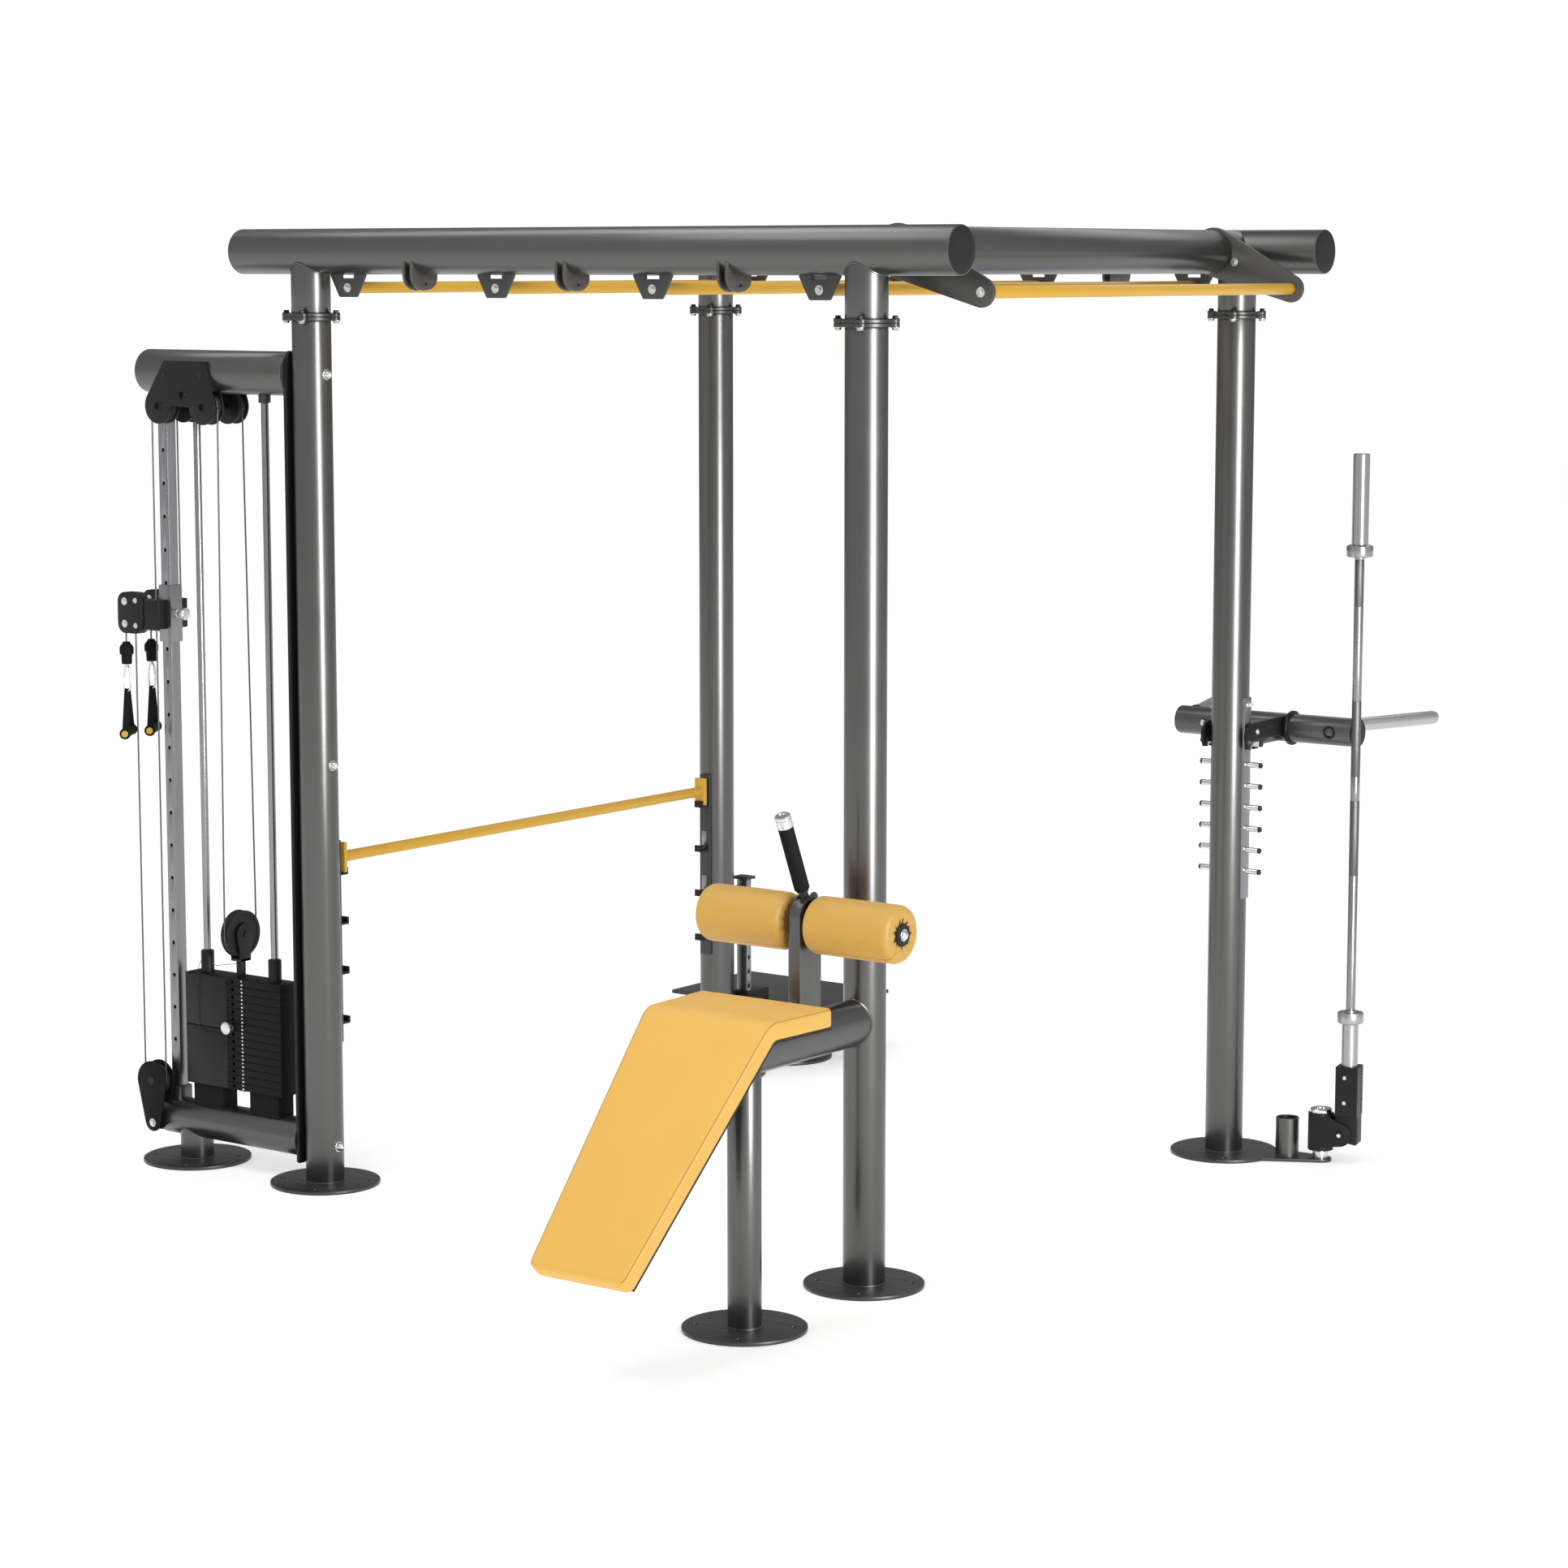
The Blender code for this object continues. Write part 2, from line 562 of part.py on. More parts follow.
def lift_wheel():
    """The stack's floating wheel in its fork, above the top plate."""
    z, r = LIFT_WHEEL_Z, LIFT_WHEEL_R
    outline = wrap(circle((0.0, z), 0.036) + [(-0.020, z - r - 0.012), (0.020, z - r - 0.012)])
    cheeks = [flat(outline, "X", STACK_X + a, STACK_X + b) for a,
              b in ((-0.021, -0.0155), (0.0155, 0.021))]
    foot_z = z - r - 0.012
    bridge = box((STACK_X - 0.021, -0.022, foot_z + GAP), (STACK_X + 0.021, 0.022, foot_z + 0.009))
    axle = rod((STACK_X - 0.026, 0, z), (STACK_X + 0.026, 0, z), 0.0075, 16)
    finish("stack_wheel_fork", "black", bridge, [*cheeks, axle])
    grooved_wheel("stack_wheel", (STACK_X, 0, z), X_AXIS, r, 0.028, 0.0078)


def top_housing():
    """Two pairs of M-shaped cheek plates under the station's beam; each pair carries two guide wheels."""
    left, right = (OUTER_WHEEL_X, TOP_WHEEL_Z), (INNER_WHEEL_X, TOP_WHEEL_Z)
    top = 2.438
    lobes = [wrap(circle(left, HOUSING_R) + [(left[0] + 0.025, top), (left[0] + HOUSING_R, top)]),
             wrap(circle(right, HOUSING_R) + [(right[0] - HOUSING_R, top), (right[0] + 0.017, top)])]
    tie_x = (left[0] + right[0]) / 2 + 0.010
    parts = []
    for y in (-CABLE_Y, CABLE_Y):
        for a, b in ((0.0145, 0.0205), (-0.0205, -0.0145)):
            parts += [flat(outline, "Y", y + a, y + b) for outline in lobes]
            parts.append(box((left[0] + 0.03, y + a, TOP_WHEEL_Z + 0.001), (right[0] - 0.03, y + b, top)))
        parts.append(rod((left[0], y - 0.023, left[1]), (left[0], y + 0.023, left[1]), 0.0075, 16))
        parts.append(rod((tie_x, y - 0.018, 2.372), (tie_x, y + 0.018, 2.372), 0.010, 12))
    axle = rod((right[0], -CABLE_Y - 0.023, right[1]), (right[0], CABLE_Y + 0.023, right[1]), 0.0075, 16)
    trim = [rod((STATION_END, 0, STATION_BEAM_Z), (-SPAN_X, 0, STATION_BEAM_Z), STATION_BEAM_R + GAP,
                TUBE),
            rod((COLUMN_X, 0, 2.45), (COLUMN_X, 0, 2.325), 0.0315 + GAP, 20)]
    finish("top_housing", "black", axle, parts, trim)


def wheels():
    top_housing()
    for side, label in ((-1, "front"), (1, "rear")):
        for place, x in (("outer", OUTER_WHEEL_X), ("inner", INNER_WHEEL_X)):
            grooved_wheel(f"top_wheel_{place}_{label}", (x, side * CABLE_Y, TOP_WHEEL_Z), Y_AXIS,
                          WHEEL_OUTER, 0.027, 0.0078)


def floor_wheel():
    """The teardrop housing on the end of the floor tube, and its wheel."""
    y = -CABLE_Y
    outline = wrap(circle((LOW_WHEEL_X, LOW_WHEEL_Z), 0.060) + circle((LOW_WHEEL_X + 0.002, 0.115), 0.032,
                                                                      12))
    cheeks = [flat(outline, "Y", y + a, y + b) for a, b in ((-0.0205, -0.0145), (0.0145, 0.0205))]
    spine = box((LOW_WHEEL_X - 0.026, y - 0.018, 0.092), (LOW_WHEEL_X + 0.026, y + 0.018, 0.142))
    axle = rod((LOW_WHEEL_X, y - 0.023, LOW_WHEEL_Z), (LOW_WHEEL_X, y + 0.023, LOW_WHEEL_Z), 0.0075, 16)
    trim = [rod((-SPAN_X - 0.645, 0, FLOOR_TUBE_Z), (-SPAN_X, 0, FLOOR_TUBE_Z), POST_R + GAP, TUBE)]
    half = COLUMN_W / 2 + 0.006 + GAP
    trim.append(box((COLUMN_X - half, -half, 0.1), (COLUMN_X + half, half, 0.4)))
    finish("floor_wheel_housing", "black", spine, [*cheeks, axle], trim)
    grooved_wheel("floor_wheel", (LOW_WHEEL_X, y, LOW_WHEEL_Z), Y_AXIS, WHEEL_OUTER, 0.027, 0.0078)


# ---- cables -------------------------------------------------------------------------------
def cables():
    """The runs of the one cable, split where it changes length; each run keeps clear of its wheels."""
    front, rear = -CABLE_Y, CABLE_Y
    low = (LOW_WHEEL_X, LOW_WHEEL_Z)
    outer, inner = (OUTER_WHEEL_X, TOP_WHEEL_Z), (INNER_WHEEL_X, TOP_WHEEL_Z)
    ride = CABLE_RIDE
    run = [(low[0] - ride, front, low[1] + 0.002)]
    run += arc(low, ride, 180, 360, 10, across=front)[1:]
    run += [(low[0] + ride, front, 0.4), (outer[0] - ride, front, 2.2)]
    run += arc(outer, ride, 180, 90, 6, across=front)
    run += arc(inner, ride, 90, 0, 6, across=front)
    finish("cable_front", "cable", wire(run, CABLE_R))
    run = arc(inner, ride, 0, 90, 6, across=rear) + arc(outer, ride, 90, 180, 6, across=rear)
    finish("cable_rear", "cable", wire(run, CABLE_R))
    drop_x = inner[0] + ride
    lift = LIFT_WHEEL_R - GROOVE + CABLE_CLEAR
    run = [(drop_x, front, TOP_WHEEL_Z - 0.004)]
    run += arc((0.0, LIFT_WHEEL_Z), lift, 180, 360, 12, plane="YZ", across=STACK_X)
    run += [(drop_x, rear, TOP_WHEEL_Z - 0.004)]
    finish("cable_stack", "cable", wire(run, CABLE_R))
    start = CARRIAGE_Z - 0.064
    finish("cable_carriage_front", "cable",
           wire([(low[0] - ride, front, low[1] + 0.006), (low[0] - ride, front, start)], CABLE_R))
    finish("cable_carriage_rear", "cable",
           wire([(outer[0] - ride, rear, TOP_WHEEL_Z - 0.004),
                 (outer[0] - ride, rear, CARRIAGE_Z + 0.064)], CABLE_R))


# ---- carriage and handles -----------------------------------------------------------------
def carriage():
    half, z0, z1 = CARRIAGE_W / 2, CARRIAGE_Z - CARRIAGE_H / 2, CARRIAGE_Z + CARRIAGE_H / 2
    base = box((COLUMN_X - half, -half, z0), (COLUMN_X + half, half, z1))
    bore_half = COLUMN_W / 2 + 0.0006
    bore = box((COLUMN_X - bore_half, -bore_half, z0 - 0.01),
               (COLUMN_X + bore_half, bore_half, z1 + 0.01))
    blocks = []
    for side in (-1, 1):
        y = side * CABLE_Y
        head = wrap(circle((BLOCK_X - 0.020, CARRIAGE_Z + 0.032),
                           0.030) + circle((BLOCK_X + 0.022, CARRIAGE_Z + 0.032), 0.030)
                    + circle((BLOCK_X - 0.020, CARRIAGE_Z - 0.033),
                             0.030) + circle((BLOCK_X + 0.022, CARRIAGE_Z - 0.033), 0.030))
        blocks.append(flat(head, "Y", y - 0.0165, y + 0.0165))
        inner_y = sorted((side * (half - 0.004), y + side * 0.010))
        blocks.append(box((BLOCK_X + 0.010, inner_y[0], CARRIAGE_Z - 0.046),
                          (COLUMN_X + 0.010, inner_y[1], CARRIAGE_Z + 0.042)))
    ferrule = rod((COLUMN_X + half - 0.004, 0, CARRIAGE_Z), (COLUMN_X + half + 0.012, 0, CARRIAGE_Z),
                  0.013, 16)
    pin_bore = rod((COLUMN_X, 0, CARRIAGE_Z), (COLUMN_X + half + 0.03, 0, CARRIAGE_Z), 0.0060, 16)
    handle_guides = [rod((HANDLE_X, s * CABLE_Y, z0), (HANDLE_X, s * CABLE_Y, CARRIAGE_Z), 0.0040,
                         12) for s in (-1, 1)]
    front_guide = rod((LOW_WHEEL_X - CABLE_RIDE, -CABLE_Y, z0),
                      (LOW_WHEEL_X - CABLE_RIDE, -CABLE_Y, CARRIAGE_Z),
                      0.0040, 12)
    passages = [rod((OUTER_WHEEL_X - CABLE_RIDE, s * CABLE_Y, z0),
                    (OUTER_WHEEL_X - CABLE_RIDE, s * CABLE_Y, z1),
                    0.0050, 12) for s in (-1, 1)]
    finish("carriage", "black", base, [*blocks, ferrule],
           [bore, pin_bore, *handle_guides, front_guide, *passages])
    x = COLUMN_X + half + 0.012 + GAP
    knob = turned((x, 0, CARRIAGE_Z), (1, 0, 0),
                  [(0, 0), (0, 0.012), (0.010, 0.012), (0.014, 0.0185), (0.026, 0.0185), (0.030, 0.014),
                   (0.030, 0)])
    shaft = rod((COLUMN_X + COLUMN_W / 2 + 0.0006, 0, CARRIAGE_Z), (x + 0.005, 0, CARRIAGE_Z), 0.0050, 16)
    finish("carriage_pin", "chrome", knob, [shaft], origin=(x, 0, CARRIAGE_Z))


def handles():
    """Strap handles hanging from their rubber stops and spring links."""
    for side, label in ((-1, "front"), (1, "rear")):
        x, y = HANDLE_X, side * CABLE_Y
        stop = turned((x, y, 1.5180), Z_AXIS, [(0, 0), (0, 0.016), (0.030, 0.021), (0.052, 0.021),
                                               (0.068, 0.012),
                                               (0.068, 0)])
        tail = rod((x, y, 1.57), (x, y, CARRIAGE_Z - 0.040), CABLE_R, 10)
        link = [(x + a, y, z) for a, z in ((0.0, 1.524), (-0.009, 1.508), (-0.013, 1.470),
                                           (-0.009, 1.444), (0.0, 1.434),
                                           (0.009, 1.444), (0.013, 1.470), (0.009, 1.508), (0.0, 1.524))]
        turn = Matrix.Translation((x, y, 0)) @ Matrix.Rotation(GRIP_TURN, 4, "Z")
        loop = wrap([(-0.006, 1.442), (0.006, 1.442)] + circle((-0.054, 1.311),
                                                               0.0165) + circle((0.054, 1.311), 0.0165))
        hollow = wrap([(-0.002, 1.424), (0.002, 1.424), (-0.050, 1.329), (0.050, 1.329)])
        strap = turned_to(flat(loop, "Y", -0.011, 0.011), turn)
        finger_gap = turned_to(flat(hollow, "Y", -0.03, 0.03), turn)
        grip = turned_to(rod((-0.064, 0, 1.311), (0.064, 0, 1.311), 0.0145), turn)
        finish(f"handle_{label}", "rubber", stop, [tail, wire(link, 0.0035), strap, grip], [finger_gap],
               origin=(x, y, 1.5180))


# ---- bench --------------------------------------------------------------------------------
def pad_outline(lift, thickness):
    """Side view (Y, Z) of the bench pad: a level seat, then a long slope down to the front."""
    slope = math.radians(46.2)
    seat = [(-0.438, 0.852), (-0.690, 0.852)]
    foot_end = (-1.225, 0.852 - 0.535 * math.tan(slope))
    top = [*seat, foot_end]
    drop = lift + thickness
    bend = drop * math.tan(slope / 2)
    upper = [(seat[0][0], seat[0][1] - lift), (seat[1][0] + lift * math.tan(slope / 2),
                                               seat[1][1] - lift),
             (foot_end[0] + lift * math.sin(slope), foot_end[1] - lift * math.cos(slope))]
    lower = [(foot_end[0] + drop * math.sin(slope), foot_end[1] - drop * math.cos(slope)),
             (top[1][0] + bend, top[1][1] - drop), (top[0][0], top[0][1] - drop)]
    return upper + lower


def taper_cutters():
    """Two wedges that narrow the pad towards its lower end."""
    wedges = []
    for s in (-1, 1):
        points = [(s * 0.212, -0.40), (s * 0.199, -0.690), (s * 0.143, -1.30), (s * 0.5, -1.30),
                  (s * 0.5, -0.40)]
        wedges.append(flat(points, "Z", 0.1, 1.1))
    return wedges


def bench():
    tube = rod((0, -0.018, BENCH_TUBE_Z), (0, -0.62, BENCH_TUBE_Z), BENCH_TUBE_R, TUBE)
    leg = rod((0, BENCH_LEG_Y, 0), (0, BENCH_LEG_Y, BENCH_TUBE_Z), BENCH_LEG_R)
    upright = box((-0.020, ROLLER_POST_Y - 0.0485, BENCH_TUBE_Z), (0.020, ROLLER_POST_Y + 0.0485, 1.045))
    crown = rod((-0.020, ROLLER_POST_Y, 1.045), (0.020, ROLLER_POST_Y, 1.045), 0.0485)
    bore = rod((-0.05, ROLLER_POST_Y, ROLLER_Z), (0.05, ROLLER_POST_Y, ROLLER_Z), 0.0125 + GAP, 16)
    trim = rod((0, 0, 0.4), (0, 0, 1.0), POST_R + GAP, TUBE)
    under = flat([(-0.80, 0.4), (-0.80, 0.852), (-0.4, 0.852), (-0.4, 0.7895), (-0.62, 0.7895),
                  (-0.6620, 0.7895),
                  (-0.95, 0.489)], "X", -0.2, 0.2)
    ears = [box((s - 0.003, ROLLER_POST_Y - 0.030, 1.05),
                (s + 0.003, ROLLER_POST_Y + 0.034, 1.108)) for s in (-0.017, 0.017)]
    finish("bench_frame", "frame", tube, [leg, foot((0, BENCH_LEG_Y)), upright, crown, *ears],
           [trim, bore, under])
    pad_t, board_t = 0.046, 0.012
    pad = flat(pad_outline(0.0, pad_t), "X", -0.23, 0.23)
    finish("bench_pad", "pad", pad, cut=taper_cutters())
    board = flat(pad_outline(pad_t + GAP, board_t), "X", -0.215, 0.215)
    finish("bench_board", "black", board, cut=taper_cutters())


def rollers():
    y, z = ROLLER_POST_Y, ROLLER_Z
    finish("roller_axle", "chrome", rod((-0.332, y, z), (0.332, y, z), 0.0125, 16))
    for label, s in (("left", -1), ("right", 1)):
        mid = s * (ROLLER_IN + ROLLER_OUT) / 2
        half = (ROLLER_OUT - ROLLER_IN) / 2
        profile = [(-half, 0.0132), (-half, 0.060), (-half + 0.014, ROLLER_R), (half - 0.014, ROLLER_R),
                   (half, 0.060),
                   (half, 0.0132), (-half, 0.0132)]
        finish(f"foam_roller_{label}", "pad", turned((mid, y, z), X_AXIS, profile, TUBE),
               origin=(mid, y, z))


def bench_grip():
    """The leaning hand grip above the rollers."""
    lean = math.radians(23.4)
    low = Vector((0, ROLLER_POST_Y - 0.012, 1.1180))
    along = Vector((0, -math.sin(lean), math.cos(lean)))
    base = rod(low, low + along * 0.190, 0.0205)
    cap = rod(low + along * 0.185, low + along * 0.221, 0.0215)
    root = rod(low - along * 0.035, low + along * 0.01, 0.0125, 16)
    trim = [rod((-0.020, ROLLER_POST_Y, 1.045), (0.020, ROLLER_POST_Y, 1.045), 0.0485 + GAP)]
    finish("bench_grip", "rubber", base, [cap, root], trim)


# ---- dip bar ------------------------------------------------------------------------------
def dip_bar():
    """A cross tube with two handles, hung on the rear right post's pegs by two side plates."""
    tube = rod((-DIP_HALF, DIP_Y, DIP_Z), (DIP_HALF, DIP_Y, DIP_Z), DIP_R, TUBE)
    add = [rod((s * 0.091 - 0.012, DIP_Y, DIP_Z), (s * 0.091 + 0.012, DIP_Y, DIP_Z), 0.053,
               TUBE) for s in (-1, 1)]
    cut = []
    for s in (-1, 1):
        a, b = sorted((s * 0.070, s * 0.080))
        outline = wrap(circle((SPAN_Y, 1.300), 0.040) + circle((DIP_Y, DIP_Z), 0.040)
                       + [(SPAN_Y - 0.030, 1.262)])
        add.append(flat(outline, "X", a, b))
        cut.append(flat([(SPAN_Y - 0.0092, 1.10), (SPAN_Y + 0.0092, 1.10), (SPAN_Y + 0.0092, 1.282),
                         (SPAN_Y + 0.0045, PEG_TOP_Z + 0.0092), (SPAN_Y - 0.0045, PEG_TOP_Z + 0.0092),
                         (SPAN_Y - 0.0092, 1.282)], "X", a - 0.01, b + 0.01))
        start = Vector((s * (DIP_HALF - 0.030), DIP_Y + 0.020, DIP_Z + 0.018))
        splay = math.radians(16)
        end = start + Vector((s * math.sin(splay), math.cos(splay), 0)) * 0.375
        add.append(rod(start, end, 0.0205))
    saddle = box((-0.074, SPAN_Y + POST_R + 0.002, 1.265), (0.074, DIP_Y, 1.335))
    finish("dip_bar", "frame", tube, [saddle, *add], cut)


# ---- step ---------------------------------------------------------------------------------
def step_rail():
    """The holed rail welded behind the rear left post, which the step slides on."""
    x = RAIL_X
    rail = box((x - 0.021, RAIL_Y - 0.013, 0.130), (x + 0.021, RAIL_Y + 0.013, 0.660))
    feet = [box((x - 0.018, SPAN_Y + 0.045, z - 0.012), (x + 0.018, RAIL_Y, z + 0.012)) for z in (0.148,
                                                            0.625)]
    cap = box((x - 0.030, RAIL_Y - 0.022, 0.658), (x + 0.030, RAIL_Y + 0.026, 0.668))
    holes = [rod((x - 0.03, RAIL_Y, 0.240 + 0.05 * i), (x + 0.03, RAIL_Y, 0.240 + 0.05 * i), 0.0065, 12)
             for i in range(8)]
    post_shape = rod((-SPAN_X, SPAN_Y, 0.0), (-SPAN_X, SPAN_Y, 1.0), POST_R + GAP, TUBE)
    finish("step_rail", "frame", rail, [*feet, cap], [post_shape, *holes])


def step():
    """The height-adjustable step and the pin that locks it to the rail."""
    x = RAIL_X
    clear = 0.0010
    deck = box((-SPAN_X - 0.345, SPAN_Y + 0.190, STEP_Z - 0.012),
               (-SPAN_X + 0.290, SPAN_Y + 0.640, STEP_Z))
    skirt = box((-SPAN_X - 0.30, SPAN_Y + 0.23, STEP_Z - 0.045),
                (-SPAN_X + 0.25, SPAN_Y + 0.60, STEP_Z - 0.006))
    sleeve = box((x - 0.034, RAIL_Y - 0.026, STEP_Z - 0.050), (x + 0.034, RAIL_Y + 0.095, STEP_Z + 0.055))
    bore = box((x - 0.021 - clear, RAIL_Y - 0.013 - clear, 0.1),
               (x + 0.021 + clear, RAIL_Y + 0.013 + clear, 0.4))
    pin_z = STEP_Z + 0.020
    pin_bore = rod((x + 0.01, RAIL_Y, pin_z), (x + 0.06, RAIL_Y, pin_z), 0.0062, 12)
    finish("step_platform", "black", deck, [skirt, sleeve], [bore, pin_bore])
    knob = turned((x + 0.034 + GAP, RAIL_Y, pin_z), X_AXIS,
                  [(0, 0), (0, 0.010), (0.014, 0.010), (0.018, 0.017), (0.028, 0.020), (0.038, 0.017),
                   (0.044, 0)])
    shaft = rod((x + 0.0225, RAIL_Y, pin_z), (x + 0.040, RAIL_Y, pin_z), 0.0055, 12)
    finish("step_pin", "rubber", knob, [shaft], origin=(x + 0.034 + GAP, RAIL_Y, pin_z))


# ---- pivoting barbell ---------------------------------------------------------------------
def pivot_frame(x, y, z):
    """Object axes for the pivot's pieces: +X along the tongue, away from the post."""
    return Matrix.Translation((x, y, z)) @ Matrix.Rotation(TONGUE_ANGLE, 4, "Z")


def landmine():
    deck_z = DISC_T + GAP
    tongue = wrap(circle((SOCKET.x - 0.02, SOCKET.y), 0.052) + circle((SWIVEL.x, SWIVEL.y), 0.034)
                  + circle((0.06, SPAN_Y), 0.085))
    base = flat(tongue, "Z", 0.0, DISC_T)
    disc_cut = rod((0, SPAN_Y, -0.1), (0, SPAN_Y, 0.1), DISC_R + GAP, 32)
    socket = rod((SOCKET.x, SOCKET.y, 0.0), (SOCKET.x, SOCKET.y, 0.128), 0.0355)
    bore = rod((SOCKET.x, SOCKET.y, DISC_T), (SOCKET.x, SOCKET.y, 0.2), 0.0290)
    pin = rod((SWIVEL.x, SWIVEL.y, 0.0), (SWIVEL.x, SWIVEL.y, 0.160), 0.0190)
    shoulder = rod((SWIVEL.x, SWIVEL.y, 0.0), (SWIVEL.x, SWIVEL.y, 0.036 - GAP), 0.0235)
    head = rod((SWIVEL.x, SWIVEL.y, 0.152 + GAP), (SWIVEL.x, SWIVEL.y, 0.164), 0.034)
    finish("landmine_base", "frame", base, [socket, pin, shoulder, head], [disc_cut, bore])
    place = pivot_frame(SWIVEL.x, SWIVEL.y, 0.0)
    reach = (TILT - SWIVEL).length
    body = turned_to(rod((0, 0, 0.036), (0, 0, 0.152), 0.039), place)
    bore = turned_to(rod((0, 0, 0.0), (0, 0, 0.3), 0.0190 + 0.0004), place)
    cheek = wrap(circle((reach, TILT_Z), 0.036) + [(0.0, 0.042), (0.0, 0.142), (0.030, 0.142)])
    cheeks = [turned_to(flat(cheek, "Y", a, b), place) for a, b in ((-0.039, -0.0305), (0.0305, 0.039))]
    axle = turned_to(rod((reach, -0.046, TILT_Z), (reach, 0.046, TILT_Z), 0.0100, 16), place)
    finish("landmine_swivel", "black", body, [*cheeks, axle], [bore], origin=(SWIVEL.x, SWIVEL.y, 0.0))
    tilt_place = pivot_frame(TILT.x, TILT.y, 0.0)
    bar_x = (BAR - TILT).length
    heel = flat(wrap(circle((0.0, TILT_Z), 0.0215) + [(0.006, 0.062), (bar_x + 0.034, 0.062),
                                                      (bar_x + 0.034, 0.16),
                (-0.014, 0.16)]), "Y", -0.0300, 0.0300)
    clamp = box((bar_x - 0.0345, -0.0345, 0.150), (bar_x + 0.0345, 0.0345, 0.303))
    sleeve_bore = rod((bar_x, 0, 0.1180), (bar_x, 0, 0.4), 0.0251 + GAP)
    axle_bore = rod((0, -0.1, TILT_Z), (0, 0.1, TILT_Z), 0.0100 + 0.0004, 16)
    for item in (heel, clamp, sleeve_bore, axle_bore):
        turned_to(item, tilt_place)
    finish("landmine_holder", "black", heel, [clamp], [sleeve_bore, axle_bore],
           origin=(TILT.x, TILT.y, TILT_Z))


def barbell():
    x, y = BAR.x, BAR.y
    foot_z = 0.1180 + GAP
    lower = turned((x, y, 0), Z_AXIS, [(foot_z, 0), (foot_z, 0.0250), (0.432, 0.0250), (0.436, 0.0400),
                                       (0.470, 0.0400),
                                       (0.474, 0.034), (0.474, 0.0144), (0.30, 0.0144), (0.30, 0)])
    finish("barbell_sleeve_lower", "chrome", lower, origin=(x, y, TILT_Z))
    finish("barbell_shaft", "chrome", rod((x, y, 0.30 + GAP), (x, y, 2.00 - GAP), 0.0140),
           origin=(x, y, 0.474))
    upper = turned((x, y, 0), Z_AXIS, [(2.00, 0), (2.00, 0.0144), (1.852, 0.0144), (1.852, 0.034),
                                       (1.856, 0.0400),
                                       (1.890, 0.0400), (1.894, 0.0250), (BAR_TOP - 0.003, 0.0250),
                                       (BAR_TOP, 0.022), (BAR_TOP, 0)])
    finish("barbell_sleeve_upper", "chrome", upper, origin=(x, y, 1.852))


# ---- whole rig ----------------------------------------------------------------------------
def centre_on_plan():
    """Put the origin on the floor under the middle of the rig's outline."""
    bpy.context.view_layer.update()
    graph = bpy.context.evaluated_depsgraph_get()
    low, high = Vector((1e9, 1e9)), Vector((-1e9, -1e9))
    for item in PARTS.objects:
        shape = item.evaluated_get(graph)
        for vertex in shape.data.vertices:
            place = shape.matrix_world @ vertex.co
            low = Vector((min(low.x, place.x), min(low.y, place.y)))
            high = Vector((max(high.x, place.x), max(high.y, place.y)))
    middle = (low + high) / 2
    for item in [*PARTS.objects, *TOOLS.objects]:
        item.location -= Vector((middle.x, middle.y, 0.0))
    print("plan shift", round(middle.x, 6), round(middle.y, 6))


clear_scene()
PARTS = new_collection("cable_crossover_rig")
TOOLS = new_collection("cutters")
MATERIALS = {name: new_material(name, *values) for name, values in FINISHES.items()}
posts()
overhead()
crossbar()
station_frame()
column()
guide_rods()
stack()
lift_wheel()
wheels()
floor_wheel()
cables()
carriage()
handles()
bench()
rollers()
bench_grip()
dip_bar()
step()
landmine()
barbell()
centre_on_plan()
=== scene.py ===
"""Looks of the cable crossover rig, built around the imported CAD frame.

Positions below are taken from the foot of the front right post, +X right, +Y back, +Z up, in
metres; ORIGIN moves them into the CAD model's own frame.
"""

import math

import bmesh
import bpy
from mathutils import Matrix, Vector, noise


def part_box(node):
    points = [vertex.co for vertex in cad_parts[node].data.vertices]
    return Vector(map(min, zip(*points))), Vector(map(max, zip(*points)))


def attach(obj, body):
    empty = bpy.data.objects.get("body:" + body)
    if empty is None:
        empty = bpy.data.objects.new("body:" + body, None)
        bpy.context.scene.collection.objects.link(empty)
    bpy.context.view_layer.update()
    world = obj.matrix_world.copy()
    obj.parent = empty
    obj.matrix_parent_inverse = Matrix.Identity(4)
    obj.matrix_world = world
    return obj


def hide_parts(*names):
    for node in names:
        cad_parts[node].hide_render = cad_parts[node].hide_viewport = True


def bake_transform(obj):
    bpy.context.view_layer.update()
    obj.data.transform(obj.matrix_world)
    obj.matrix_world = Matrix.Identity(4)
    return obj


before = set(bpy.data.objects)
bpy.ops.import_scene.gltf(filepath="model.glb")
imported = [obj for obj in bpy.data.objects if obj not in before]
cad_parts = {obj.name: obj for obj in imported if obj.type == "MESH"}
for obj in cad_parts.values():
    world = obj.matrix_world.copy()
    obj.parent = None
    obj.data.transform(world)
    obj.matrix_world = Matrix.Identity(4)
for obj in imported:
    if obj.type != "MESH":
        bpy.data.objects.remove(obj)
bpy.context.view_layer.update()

low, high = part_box("post_front_right")
ORIGIN = Vector(((low.x + high.x) / 2, (low.y + high.y) / 2, 0.0))

# ---- camera -------------------------------------------------------------------------------
CAMERA_AT = Vector((5.7564, -8.2334, 2.7244))
CAMERA_YAW = math.radians(36.1849)
CAMERA_DIP = math.radians(7.7326)
lens = bpy.data.cameras.new("camera")
lens.lens = 88.05
lens.sensor_width = 36.0
lens.clip_end = 100.0
camera = bpy.data.objects.new("camera", lens)
camera.location = ORIGIN + CAMERA_AT
camera.rotation_euler = (math.pi / 2 - CAMERA_DIP, 0.0, CAMERA_YAW)
bpy.context.scene.collection.objects.link(camera)
bpy.context.scene.camera = camera


